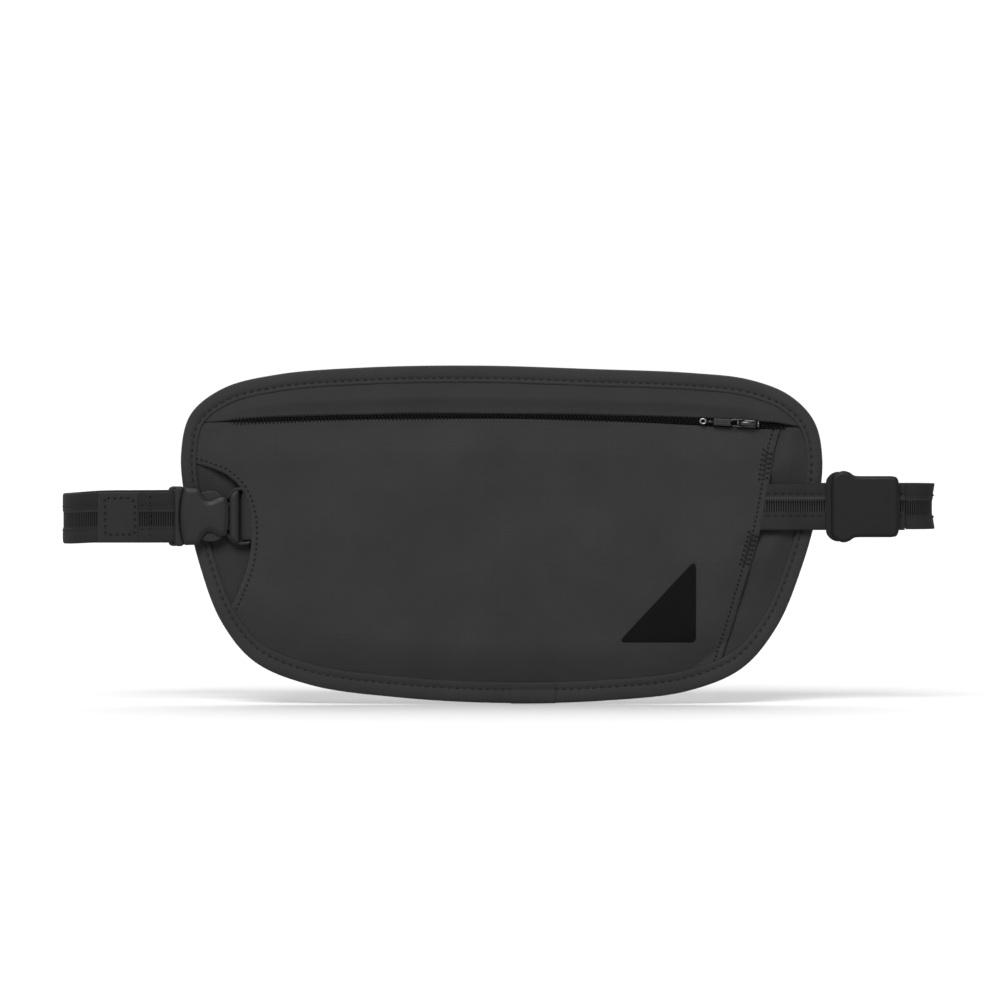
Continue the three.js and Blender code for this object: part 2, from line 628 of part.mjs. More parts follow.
// The left bend, from the front of the belt round to its back, between two angles in degrees.
function leftBend(from, to, steps, outward = 0) {
  const centreY = -TAIL_DEPTH + LEFT_BEND.radius;
  return lineBetween(from, to, steps).map((angle) => {
    const a = (angle * Math.PI) / 180;
    const radius = LEFT_BEND.radius + outward;
    return strapPoint(LEFT_BEND.x - Math.sin(a) * radius, centreY - Math.cos(a) * radius);
  });
}

function rightBend(from, to, steps) {
  const { x, radius } = RIGHT_BEND;
  return lineBetween(from, to, steps).map((angle) => {
    const a = (angle * Math.PI) / 180;
    return strapPoint(x + Math.sin(a) * radius, radius - LEAD_DEPTH - Math.cos(a) * radius);
  });
}

function addStraps() {
  // Round the socket's bar and out to the left: front layer, the turn through the slot, rear layer.
  const bendAngle = (x) => (Math.asin((LEFT_BEND.x - x) / LEFT_BEND.radius) * 180) / Math.PI;
  const splitAngle = bendAngle(LEAD_LEFT_END);
  const tabAngle = bendAngle(TAB.from);
  const barMiddle = (SOCKET.frame[0] + SOCKET.frame[1]) / 2;
  const turnX = (SOCKET.slot[0] + SOCKET.slot[1]) / 2;
  const rearDepth = SOCKET.frame[0] - 0.85;
  const frontDepthAtBar = SOCKET.frame[1] + 0.85;
  const round = [
    [-157, TAIL_DEPTH + TAB.depth], [-152, TAIL_DEPTH + 1.9],
    [-148, frontDepthAtBar], [-145.6, frontDepthAtBar], [turnX, frontDepthAtBar - 1],
    [turnX, barMiddle], [turnX, rearDepth + 1], [-145.6, rearDepth],
    [-148.5, rearDepth], [-153, TAIL_DEPTH - 0.5], [-158, TAIL_DEPTH], [LEFT_BEND.x, TAIL_DEPTH],
  ].map(([x, depth]) => strapPoint(x, -depth));
  const bendInner = leftBend(0, splitAngle, 2).slice(1);
  const tail = [...leftBend(tabAngle, 0, 5, TAB.depth), ...round, ...bendInner];
  add("strap_tail", ribbon(tail, STRAP_CLOTH), MATERIALS.webbing);

  // Round the wearer: the left bend, the stretch behind, and the right bend.
  const gapAngle = (GAP / LEFT_BEND.radius) * (180 / Math.PI);
  const rear = smooth(REAR, 12).map(([x, y]) => strapPoint(x, y));
  const [rearRight, rearLeft] = [REAR[0], REAR[REAR.length - 1]];
  const bendLeft = [...leftBend(splitAngle + gapAngle, 180, 12), strapPoint(rearLeft[0] - GAP, rearLeft[1])];
  const bendRight = [strapPoint(rearRight[0] + GAP, rearRight[1]), ...rightBend(180, 0, 10)];
  add("strap_bend_left", ribbon(bendLeft, STRAP_CLOTH), MATERIALS.webbing);
  add("strap_rear", ribbon(rear, STRAP_CLOTH), MATERIALS.webbing);
  add("strap_bend_right", ribbon(bendRight, STRAP_CLOTH), MATERIALS.webbing);

  // Through the adjuster, over the pouch's edge, round the hidden ring and back to the adjuster's bar.
  const ringReach = RING.wire + GAP + STRAP_CLOTH / 2;
  const lead = [
    [RIGHT_BEND.x - GAP, LEAD_DEPTH], [150, LEAD_DEPTH], [112, LEAD_DEPTH],
    ...halfTurn(RING.x, RING.depth, ringReach),
    [112, RETURN_DEPTH - 0.2], [118, RETURN_DEPTH], [158, RETURN_DEPTH],
  ].map(([x, depth]) => ({ x, y: -depth, z: RIGHT_STRAP.z, half: RIGHT_STRAP.half }));
  add("strap_lead", ribbon(lead, STRAP_CLOTH), MATERIALS.webbing);

  const wire = [RIGHT_STRAP.z - RING.half, RIGHT_STRAP.z + RING.half];
  const sides = [RING.x, RING.left].map((x) => rod(x, RING.depth, RING.wire, wire, 10));
  const around = (low, high) => [low - RING.wire, high + RING.wire];
  const end = (z) => block(around(RING.left, RING.x), around(z, z), around(RING.depth, RING.depth));
  const ends = wire.map(end);
  add("anchor_ring", sides[0].add(sides[1]).add(ends[0]).add(ends[1]), MATERIALS.plastic);

  const reach = RING.wire + GAP + ANCHOR_TAB.cloth / 2;
  const turn = halfTurn(0, RING.depth, reach).map(([x, depth]) => [RING.left - x, depth]);
  const tab = [[ANCHOR_TAB.end, RING.depth + reach], ...turn, [ANCHOR_TAB.end, RING.depth - reach]]
    .map(([x, depth]) => ({ x, y: -depth, z: RIGHT_STRAP.z, half: ANCHOR_TAB.half }));
  add("anchor_tab", ribbon(tab, ANCHOR_TAB.cloth), MATERIALS.webbing);
}

// ---------------------------------------------------------------- the adjuster

// The adjuster's outline: a rounded plate with a finger grip above and below its pouch end.
function adjusterShape(left, shrink = 0) {
  const { right, half, ear, earX, earEnd, round } = ADJUSTER;
  const z = RIGHT_STRAP.z;
  const [r, h, e] = [right - shrink, half - shrink, ear - shrink];
  const x0 = left + shrink;
  const shape = new THREE.Shape();
  shape.moveTo(x0, z - h + 1.6);
  shape.quadraticCurveTo(x0 + 0.8, z - e + 0.6, earX - 1, z - e);
  shape.quadraticCurveTo(earX + 3.2, z - e - 0.1, earEnd - 1.6, z - h - 0.5);
  shape.quadraticCurveTo(earEnd, z - h, earEnd + 1.4, z - h);
  shape.lineTo(r - round, z - h);
  shape.quadraticCurveTo(r, z - h, r, z - h + round);
  shape.lineTo(r, z + h - round);
  shape.quadraticCurveTo(r, z + h, r - round, z + h);
  shape.lineTo(earEnd + 1.4, z + h);
  shape.quadraticCurveTo(earEnd, z + h, earEnd - 1.6, z + h + 0.5);
  shape.quadraticCurveTo(earX + 3.2, z + e + 0.1, earX - 1, z + e);
  shape.quadraticCurveTo(x0 + 0.8, z + e - 0.6, x0, z + h - 1.6);
  return shape;
}

function addAdjuster() {
  const { left, right, frame, frameLeft, cover, chamfer, bar, slotHalf } = ADJUSTER;
  const z = [RIGHT_STRAP.z - slotHalf, RIGHT_STRAP.z + slotHalf];
  const centre = (left + right) / 2;
  const slots = [[frameLeft + bar, centre - bar / 2], [centre + bar / 2, right - bar]]
    .map((xs) => block(xs, z, THROUGH));
  const grille = plate(adjusterShape(frameLeft, 0.2), frame).subtract(slots[0]).subtract(slots[1]);
  add("adjuster_frame", grille, MATERIALS.plastic);

  const face = plate(adjusterShape(left), [cover[0], cover[1] - chamfer]);
  const top = plate(adjusterShape(left, chamfer), [cover[1] - chamfer - 0.01, cover[1]]);
  const hollow = block([HUMP.from - 1, HUMP.to + 1], z, [cover[0] - 1, HUMP.depths[1] + GAP]);
  add("adjuster_cover", face.add(top).subtract(hollow), MATERIALS.plastic);

  // The strap's short stretch over the frame's middle bar, which travels with the adjuster.
  const strapZ = [RIGHT_STRAP.z - RIGHT_STRAP.half, RIGHT_STRAP.z + RIGHT_STRAP.half];
  add("strap_over_bar", block([HUMP.from, HUMP.to], strapZ, HUMP.depths), MATERIALS.webbing);
}

addPouch();
addZip();
addBuckle();
addStraps();
addAdjuster();

export default part;
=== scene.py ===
"""The looks of a slim travel money belt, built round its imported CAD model.

Every length is in millimetres and turned to metres when a mesh is made, except for the camera, the lights,
the floor and BEND. The pouch faces -Y, its flat back lies at y = 0, and "depth" is the distance in front of
that back, so y = -depth.
"""

import math

import bmesh
import bpy
import numpy as np
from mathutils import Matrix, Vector, noise


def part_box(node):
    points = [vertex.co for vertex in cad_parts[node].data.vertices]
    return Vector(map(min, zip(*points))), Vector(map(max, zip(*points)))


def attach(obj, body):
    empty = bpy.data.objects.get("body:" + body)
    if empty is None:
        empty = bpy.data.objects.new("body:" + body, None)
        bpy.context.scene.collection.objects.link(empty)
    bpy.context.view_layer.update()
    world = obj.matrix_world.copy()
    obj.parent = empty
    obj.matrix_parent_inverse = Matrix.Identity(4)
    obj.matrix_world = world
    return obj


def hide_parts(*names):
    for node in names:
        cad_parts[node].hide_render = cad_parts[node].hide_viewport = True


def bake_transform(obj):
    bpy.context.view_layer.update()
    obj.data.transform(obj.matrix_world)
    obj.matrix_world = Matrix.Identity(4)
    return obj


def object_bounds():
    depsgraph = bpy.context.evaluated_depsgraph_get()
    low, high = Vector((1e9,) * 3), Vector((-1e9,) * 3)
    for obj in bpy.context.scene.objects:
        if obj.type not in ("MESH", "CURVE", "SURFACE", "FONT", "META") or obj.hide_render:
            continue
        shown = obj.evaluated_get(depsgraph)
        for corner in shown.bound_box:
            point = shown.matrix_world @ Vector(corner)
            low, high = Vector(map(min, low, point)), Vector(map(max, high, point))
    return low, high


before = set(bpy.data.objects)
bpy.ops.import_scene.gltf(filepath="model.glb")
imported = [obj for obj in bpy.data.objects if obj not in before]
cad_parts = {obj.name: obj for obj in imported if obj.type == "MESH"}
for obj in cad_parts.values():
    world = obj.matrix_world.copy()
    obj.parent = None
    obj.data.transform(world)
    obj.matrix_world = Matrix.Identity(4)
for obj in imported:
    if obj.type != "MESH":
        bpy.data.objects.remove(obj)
cad_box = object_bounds()
MM = 0.001


# ---------------------------------------------------------------- camera, floor and light


def node_box(node):
    """A CAD node's limits in millimetres: lowest and highest corner."""
    low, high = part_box(node)
    return np.array(low) / MM, np.array(high) / MM


def make_camera():
    """Nearly level with the pouch's upper half, far back with a long lens, as in a catalogue picture."""
    data = bpy.data.cameras.new("camera")
    data.sensor_width = 36
    distance, view_width, pitch = 4.0, 0.444, math.radians(1.0)
    aim_x, aim_z = -0.0007, 0.0155
    data.lens = data.sensor_width * distance / view_width
    camera = bpy.data.objects.new("camera", data)
    front = node_box("front_panel")[0][1] * MM
    camera.location = (aim_x, front - distance * math.cos(pitch), aim_z + distance * math.sin(pitch))
    camera.rotation_euler = (math.pi / 2 - pitch, 0, 0)
    bpy.context.scene.collection.objects.link(camera)
    bpy.context.scene.camera = camera


def soft_sun(name, azimuth, elevation, strength, softness):
    """A broad far light. azimuth 0 shines from straight in front of the belt, and grows towards its right."""
    data = bpy.data.lights.new(name, "SUN")
    data.energy = strength
    data.angle = math.radians(softness)
    light = bpy.data.objects.new(name, data)
    around, up = math.radians(azimuth), math.radians(elevation)
    source = Vector((math.sin(around) * math.cos(up), -math.cos(around) * math.cos(up), math.sin(up)))
    light.location = source
    light.rotation_euler = source.to_track_quat("Z", "Y").to_euler()
    bpy.context.scene.collection.objects.link(light)


def make_studio():
    """A white floor and horizon with a darker room overhead, one broad light in front and one behind."""
    scene = bpy.context.scene
    scene.view_settings.view_transform = "Standard"
    world = bpy.data.worlds.new("studio")
    scene.world = world
    world.use_nodes = True
    nodes, links = world.node_tree.nodes, world.node_tree.links
    split = nodes.new("ShaderNodeSeparateXYZ")
    links.new(nodes.new("ShaderNodeTexCoord").outputs["Generated"], split.inputs[0])
    overhead = nodes.new("ShaderNodeValToRGB")
    links.new(split.outputs["Z"], overhead.inputs["Fac"])
    for element, (height, level) in zip(overhead.color_ramp.elements, ((0.12, 1.02), (0.5, 0.32))):
        element.position = height
        element.color = (level, level, level, 1)
    links.new(overhead.outputs["Color"], nodes["Background"].inputs["Color"])

    bpy.ops.mesh.primitive_plane_add(size=16, location=(0, 1.5, cad_box[0].z - 0.0005))
    floor = bpy.context.object
    floor.name = "floor"
    paint = bpy.data.materials.new("floor_white")
    paint.use_nodes = True
    shader = paint.node_tree.nodes["Principled BSDF"]
    shader.inputs["Base Color"].default_value = (0.52, 0.52, 0.52, 1)
    shader.inputs["Roughness"].default_value = 0.9
    shader.inputs["Specular IOR Level"].default_value = 0.0
    floor.data.materials.append(paint)

    soft_sun("front_light", -10, 36, 4.6, 30)
    soft_sun("back_light", 178, 48, 3.6, 80)


# ---------------------------------------------------------------- lines


def smooth_line(points, closed=False, per=24):
    """A centripetal Catmull-Rom line through given points."""
    points = np.array(points, float)
    if closed:
        around = np.vstack([points[-1], points, points[0], points[1]])
    else:
        around = np.vstack([2 * points[0] - points[1], points, 2 * points[-1] - points[-2]])
    found = []
    for i in range(1, len(around) - 2):
        p = around[i - 1:i + 3]
        knots = np.concatenate([[0], np.cumsum(np.linalg.norm(np.diff(p, axis=0), axis=1) ** 0.5)])
        t = np.linspace(knots[1], knots[2], per, endpoint=False)[:, None]

        def mix(a, b, ta, tb):
            return (tb - t) / (tb - ta) * a + (t - ta) / (tb - ta) * b

        a1, a2, a3 = (mix(p[k], p[k + 1], knots[k], knots[k + 1]) for k in range(3))
        b1, b2 = mix(a1, a2, knots[0], knots[2]), mix(a2, a3, knots[1], knots[3])
        found.append(mix(b1, b2, knots[1], knots[2]))
    line = np.vstack(found)
    return line if closed else np.vstack([line, points[-1]])


def distances_along(line):
    """Each point's distance from the line's start, measured along the line."""
    return np.concatenate([[0], np.cumsum(np.linalg.norm(np.diff(line, axis=0), axis=1))])


def at_distances(where, along, line):
    """The points of a line at some distances along it."""
    return np.stack([np.interp(where, along, line[:, k]) for k in range(line.shape[1])], axis=1)


def resample(line, count, closed=False):
    """count points evenly spaced along a line."""
    line = np.array(line, float)
    if closed:
        line = np.vstack([line, line[0]])
    along = distances_along(line)
    at = np.linspace(0, along[-1], count + 1)[:count] if closed else np.linspace(0, along[-1], count)
    return at_distances(at, along, line)


def length_of(line):
    return float(np.linalg.norm(np.diff(np.array(line), axis=0), axis=1).sum())


def normals_2d(line, closed=False):
    """Unit normals to the right of each point's direction of travel."""
    if closed:
        step = np.roll(line, -1, axis=0) - np.roll(line, 1, axis=0)
    else:
        step = np.gradient(line, axis=0)
    step = step / np.linalg.norm(step, axis=1)[:, None]
    return np.stack([step[:, 1], -step[:, 0]], axis=1)


def smoothstep(t):
    t = np.clip(t, 0, 1)
    return t * t * (3 - 2 * t)


# ---------------------------------------------------------------- the pouch's lines, as in its CAD model

POUCH_OUTLINE = [
    (-142.6, 36), (-138.3, 53.5), (-124, 65), (-100, 71.2), (-60, 74.4), (-10, 75.2), (40, 73.7),
    (85, 71.9), (110, 69), (128, 62), (139, 50.5), (142.7, 34), (140.2, 10), (133.4, -15),
    (122.5, -41), (107, -59.5), (83, -69.6), (45, -74), (0, -75), (-45, -72.6), (-85, -67),
    (-110, -56.6), (-124.6, -39), (-134.2, -14), (-140.6, 14),
]
SEAM = [
    (124, 46.6), (121.0, 36), (119.2, 25), (117.4, 14), (114.8, 1), (111.2, -12), (107.0, -26),
    (103.0, -40), (98.8, -53), (96.4, -61.5),
]
GARAGE = [
    (-137.2, 31.8), (-129.7, 29.8), (-121.8, 26.4), (-115.2, 19.6), (-111.6, 9.5), (-110.9, -1),
    (-112.2, -12), (-116, -23.5), (-122.4, -37.5),
]
ZIP_ARC = {"x": -15, "crest": 52.8, "radius": 2260}
SLIDER_X = 109.3
BUCKLE_Z = 8.3

OUTLINE = resample(smooth_line(POUCH_OUTLINE, closed=True), 1460, closed=True)
OUTLINE_IN = normals_2d(OUTLINE, closed=True)
BINDING_WIDTH = 6.9 + np.where(OUTLINE_IN[:, 1] < 0, 0.7, 2.4) * OUTLINE_IN[:, 1] ** 2
STITCH_IN = 2.0 + np.where(OUTLINE_IN[:, 1] < 0, 0.0, 1.2) * OUTLINE_IN[:, 1] ** 2


def inset(distance):
    """The pouch's outline moved inwards by a distance, or by one distance for each of its points."""
    return OUTLINE + OUTLINE_IN * np.broadcast_to(distance, len(OUTLINE))[:, None]


def zip_z(x):
    return ZIP_ARC["crest"] - ZIP_ARC["radius"] + np.sqrt(ZIP_ARC["radius"] ** 2 - (x - ZIP_ARC["x"]) ** 2)


def nearest_edge(points):
    """Each point's distance to the pouch's outline, and the binding's width at the nearest place."""
    distance, width = [], []
    for part in np.array_split(np.asarray(points, float), max(1, len(points) // 2000)):
        gap = np.linalg.norm(part[:, None, :] - OUTLINE[None, :, :], axis=2)
        nearest = gap.argmin(axis=1)
        distance.append(gap.min(axis=1))
        width.append(BINDING_WIDTH[nearest])
    return np.concatenate(distance), np.concatenate(width)


def outline_between(start, end, distance):
    """The stretch of the inset outline, clockwise, between the points nearest to start and end."""
    ring = inset(distance)
    a = np.linalg.norm(ring - np.array(start), axis=1).argmin()
    b = np.linalg.norm(ring - np.array(end), axis=1).argmin()
    if b < a:
        b += len(ring)
    return np.take(ring, np.arange(a, b + 1), axis=0, mode="wrap")


def slit_half(x):
    """Half the height of the zip's slit: wider at the slider, closing to a point at each end."""
    wide = smoothstep((x - 40) / 50)
    ends = smoothstep((x + 134) / 32) * smoothstep((133.5 - x) / 13)
    return (0.75 + 0.45 * wide) * ends + 0.04


# ---------------------------------------------------------------- mesh making


def piece(name, points, faces, material, uv=None, smooth=True):
    """A mesh object from points in millimetres. uv holds one pair for each point."""
    mesh = bpy.data.meshes.new(name)
    mesh.from_pydata((np.asarray(points, float) * MM).tolist(), [], [list(map(int, f)) for f in faces])
    if uv is not None:
        layer = mesh.uv_layers.new(name="cloth")
        corners = np.zeros(len(mesh.loops), np.int32)
        mesh.loops.foreach_get("vertex_index", corners)
        layer.data.foreach_set("uv", (np.asarray(uv, float)[corners] * MM).astype(np.float32).ravel())
    mesh.validate()
    if smooth:
        mesh.shade_smooth()
    obj = bpy.data.objects.new(name, mesh)
    bpy.context.scene.collection.objects.link(obj)
    mesh.materials.append(material)
    return obj


def grid_faces(rows, columns, wrap_rows=False, wrap_columns=False, start=0):
    faces = []
    for i in range(rows if wrap_rows else rows - 1):
        for j in range(columns if wrap_columns else columns - 1):
            a, b = i * columns + j, i * columns + (j + 1) % columns
            below = ((i + 1) % rows) * columns
            c, d = below + (j + 1) % columns, below + j
            faces.append((start + a, start + b, start + c, start + d))
    return faces


def end_caps(rows, columns, start=0):
    """The two faces that close a tube of rows of points."""
    first = tuple(range(start, start + columns))
    last = tuple(range(start + (rows - 1) * columns, start + rows * columns))
    return [first[::-1], last]


def shell(name, grid, thickness, material):
    """A thin cloth shell: grid is its front, rows x columns x 3, and the back lies a thickness behind it."""
    rows, columns, _ = grid.shape
    across = np.cross(np.gradient(grid, axis=1), np.gradient(grid, axis=0))
    across /= np.linalg.norm(across, axis=2)[:, :, None] + 1e-9
    if across[:, :, 1].mean() > 0:
        across = -across
    count = rows * columns
    points = np.vstack([grid.reshape(-1, 3), (grid - across * thickness).reshape(-1, 3)])
    front = grid_faces(rows, columns)
    rim = ([(0, j) for j in range(columns)] + [(i, columns - 1) for i in range(1, rows)]
           + [(rows - 1, j) for j in range(columns - 2, -1, -1)] + [(i, 0) for i in range(rows - 2, 0, -1)])
    rim = [i * columns + j for i, j in rim]
    faces = front + [tuple(count + v for v in reversed(f)) for f in front]
    faces += [(a, a + count, b + count, b) for a, b in zip(rim, rim[1:] + rim[:1])]
    return piece(name, points, faces, material)


def coons(bottom, top, left, right, across, up):
    """Points filling four joined edges: bottom and top run left to right, left and right run upwards."""
    bottom, top = resample(bottom, across), resample(top, across)
    left, right = resample(left, up), resample(right, up)
    u = np.linspace(0, 1, across)[None, :, None]
    v = np.linspace(0, 1, up)[:, None, None]
    ruled = (1 - v) * bottom[None] + v * top[None] + (1 - u) * left[:, None] + u * right[:, None]
    corners = ((1 - u) * (1 - v) * bottom[0] + u * (1 - v) * bottom[-1]
               + (1 - u) * v * top[0] + u * v * top[-1])
    return ruled - corners


def sweep(name, rings, material, closed=False, uv=None):
    """A tube of equal rings, each a list of points."""
    rings = np.asarray(rings, float)
    rows, columns, _ = rings.shape
    faces = grid_faces(rows, columns, wrap_rows=closed, wrap_columns=True)
    if not closed:
        faces += end_caps(rows, columns)
    uvs = None if uv is None else np.asarray(uv, float).reshape(-1, 2)
    obj = piece(name, rings.reshape(-1, 3), faces, material, uvs)
    fix_normals(obj)
    return obj


def fix_normals(obj):
    mesh = bmesh.new()
    mesh.from_mesh(obj.data)
    bmesh.ops.recalc_face_normals(mesh, faces=mesh.faces)
    mesh.to_mesh(obj.data)
    mesh.free()


def tube(name, line, radius, material, sides=8, closed=False):
    """A round tube along a line of points."""
    line = np.asarray(line, float)
    if closed:
        step = np.roll(line, -1, axis=0) - np.roll(line, 1, axis=0)
    else:
        step = np.gradient(line, axis=0)
    step /= np.linalg.norm(step, axis=1)[:, None]
    side = np.cross(step, (0, 1, 0.001))
    side /= np.linalg.norm(side, axis=1)[:, None]
    up = np.cross(side, step)
    angles = np.linspace(0, 2 * math.pi, sides, endpoint=False)
    rings = (line[:, None, :] + radius * (np.cos(angles)[None, :, None] * side[:, None, :]
                                          + np.sin(angles)[None, :, None] * up[:, None, :]))
    return sweep(name, rings, material, closed=closed)


def plate(name, outline, depths, material, bevel=0.5, holes=(), segments=3):
    """A flat plate with rounded edges, from an [x, z] outline and holes, between two depths."""
    behind, front = depths
    curve = bpy.data.curves.new(name, "CURVE")
    curve.dimensions = "2D"
    curve.fill_mode = "BOTH"
    curve.extrude = ((front - behind) / 2 - bevel) * MM
    curve.bevel_depth = bevel * MM
    curve.bevel_resolution = segments
    for loop in [outline, *holes]:
        spline = curve.splines.new("POLY")
        spline.points.add(len(loop) - 1)
        flat = np.asarray(loop, float) * MM
        places = np.column_stack([flat, np.zeros(len(loop)), np.ones(len(loop))])
        spline.points.foreach_set("co", places.ravel())
        spline.use_cyclic_u = True
    curve.offset = -bevel * MM
    temporary = bpy.data.objects.new(name, curve)
    bpy.context.scene.collection.objects.link(temporary)
    bpy.context.view_layer.update()
    graph = bpy.context.evaluated_depsgraph_get()
    mesh = bpy.data.meshes.new_from_object(temporary.evaluated_get(graph))
    bpy.data.objects.remove(temporary)
    mesh.name = name
    for vertex in mesh.vertices:
        x, z, along = vertex.co
        vertex.co = (x, -(behind + front) / 2 * MM - along, z)
    mesh.materials.clear()
    mesh.materials.append(material)
    obj = bpy.data.objects.new(name, mesh)
    bpy.context.scene.collection.objects.link(obj)
    fix_normals(obj)
    soften(obj)
    return obj


def soften(obj, degrees=38):
    """Smooth shading with sharp edges where faces meet at a steep angle."""
    obj.data.shade_smooth()
    obj.data.set_sharp_from_angle(angle=math.radians(degrees))


def moulded(name, outline, centre, back, profile, material, spread=36):
    """A moulded piece whose front height depends on the distance from its outline.

    profile is a list of (distance, depth) pairs from the rim inwards, and back is the depth of its flat back.
    """
    outline = np.asarray(outline, float)
    inwards = normals_2d(outline, closed=True)
    area = np.sum(outline[:, 0] * np.roll(outline[:, 1], -1) - np.roll(outline[:, 0], -1) * outline[:, 1])
    if area > 0:
        inwards = -inwards
    rings = [np.column_stack([outline + inwards * d, np.full(len(outline), depth)])
             for d, depth in ((0.35, back), (0.0, back + 0.35))]
    distances, depths = zip(*profile)
    for share in 1 - 0.98 * np.linspace(0, 1, spread) ** 1.7:
        flat = np.array(centre) + (outline - np.array(centre)) * share
        from_rim = distance_to(flat, densify(outline, 0.15))
        rings.append(np.column_stack([flat, np.interp(from_rim, distances, depths)]))
    rings = np.array(rings)
    points = np.stack([rings[..., 0], -rings[..., 2], rings[..., 1]], axis=2)
    obj = sweep(name, points, material)
    soften(obj, 50)
    return obj


def stitch_row(name, line, outward, pitch, length, radius, material, sunk=0.35):
    """A row of thread stitches along a line of points; outward is the surface's normal at each point."""
    line, outward = np.asarray(line, float), np.asarray(outward, float)
    along = distances_along(line)
    sections, sides = 5, 6
    arch = np.sin(np.linspace(0, math.pi, sections))
    angles = np.linspace(0, 2 * math.pi, sides, endpoint=False)
    points, faces = [], []
    for begin in np.arange(pitch * 0.3, along[-1] - length, pitch):
        where = begin + np.linspace(0, length, sections)
        normal = at_distances(where, along, outward)
        centre = at_distances(where, along, line) + normal * (radius * (arch * 0.9 - sunk))[:, None]
        step = centre[-1] - centre[0]
        step /= np.linalg.norm(step)
        side = np.cross(step, normal)
        girth = radius * (0.55 + 0.45 * arch)
        faces += grid_faces(sections, sides, wrap_columns=True, start=len(points))
        faces += end_caps(sections, sides, start=len(points))
        for k in range(sections):
            points += [centre[k] + girth[k] * (math.cos(a) * side[k] + math.sin(a) * normal[k]) for a in angles]
    return piece(name, points, faces, material)


def sew(name, line, outward, body, pitch, radius=0.25, share=0.36):
    """A seam: charcoal thread bridging dark needle holes, whose near-black blobs are painted shade and are what
    shows from afar.
    """
    gap = pitch * share
    holes = stitch_row(f"{name}_holes", line, outward, pitch, gap, radius * 1.6, MATERIALS["hole"], sunk=0.95)
    keep = np.searchsorted(distances_along(line), pitch * 0.3 + gap)
    threads = stitch_row(f"{name}_thread", line[keep:], outward[keep:], pitch, pitch - gap, radius,
                         MATERIALS["thread"], sunk=0.2)
    for obj in (holes, threads):
        if body:
            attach(obj, body)
        else:
            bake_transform(obj)


def rumple(points, scale, amount, seed=0.0):
    """Soft random heights for [x, z] points, from a smooth noise of a given scale."""
    return np.array([amount * noise.noise(Vector((x / scale, z / scale, seed))) for x, z in points])


def finish_piece(obj, body, slot, *nodes):
    """Sets what a piece rides on, and hides the CAD nodes it stands for. slot is not used."""
    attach(obj, body)
    if nodes:
        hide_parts(*nodes)
    return obj


# ---------------------------------------------------------------- materials


class Shader:
    """A Principled material with short calls for adding procedural nodes."""

    def __init__(self, name, roughness, metallic=0.0, specular=0.5, sheen=0.0):
        self.material = bpy.data.materials.new(name)
        self.material.use_nodes = True
        self.tree = self.material.node_tree
        self.shader = self.tree.nodes["Principled BSDF"]
        self.shader.inputs["Roughness"].default_value = roughness
        self.shader.inputs["Metallic"].default_value = metallic
        self.shader.inputs["Specular IOR Level"].default_value = specular
        self.shader.inputs["Sheen Weight"].default_value = sheen
        self.shader.inputs["Sheen Roughness"].default_value = 0.5

    def feed(self, socket, value):
        """Links an input to another node's output, or sets it to a plain value."""
        if hasattr(value, "links"):
            self.tree.links.new(value, socket)
        else:
            socket.default_value = value

    def add(self, kind, **inputs):
        node = self.tree.nodes.new(kind)
        for key, value in inputs.items():
            self.feed(node.inputs[key], value)
        return node

    def math(self, operation, a, b=0.0):
        node = self.tree.nodes.new("ShaderNodeMath")
        node.operation = operation
        for socket, value in zip(node.inputs, (a, b)):
            self.feed(socket, value)
        return node.outputs[0]

    def plus(self, a, b):
        return self.math("ADD", a, b)

    def minus(self, a, b):
        return self.math("SUBTRACT", a, b)

    def times(self, a, b):
        return self.math("MULTIPLY", a, b)

    def power(self, a, b):
        return self.math("POWER", a, b)

    def place(self, uv=False):
        """Separate x, y and z in millimetres, of the object's own space or of its cloth map."""
        source = self.tree.nodes.new("ShaderNodeTexCoord").outputs["UV" if uv else "Object"]
        scaled = self.tree.nodes.new("ShaderNodeVectorMath")
        scaled.operation = "SCALE"
        scaled.inputs["Scale"].default_value = 1000
        self.tree.links.new(source, scaled.inputs[0])
        split = self.add("ShaderNodeSeparateXYZ", Vector=scaled.outputs[0])
        return scaled.outputs[0], split.outputs["X"], split.outputs["Y"], split.outputs["Z"]

    def noise(self, vector, scale, detail=2.0, roughness=0.5):
        return self.add("ShaderNodeTexNoise", Vector=vector, Scale=scale, Detail=detail,
                        Roughness=roughness).outputs["Fac"]

    def wave(self, value, pitch):
        """A sine from 0 to 1 along a value in millimetres."""
        turned = self.times(value, 2 * math.pi / pitch)
        return self.plus(self.times(self.math("SINE", turned), 0.5), 0.5)

    def shade(self, value, *stops):
        """Colours the material in greys, by (position, level) stops along a value."""
        node = self.add("ShaderNodeValToRGB", Fac=value)
        elements = node.color_ramp.elements
        while len(elements) < len(stops):
            elements.new(0.5)
        for element, (position, level) in zip(elements, stops):
            element.position = position
            element.color = (level, level, level, 1)
        self.feed(self.shader.inputs["Base Color"], node.outputs["Color"])

    def roughness(self, value):
        self.feed(self.shader.inputs["Roughness"], value)

    def bump(self, height, distance):
        node = self.add("ShaderNodeBump", Height=height, Distance=distance * MM, Strength=1.0)
        self.feed(self.shader.inputs["Normal"], node.outputs["Normal"])


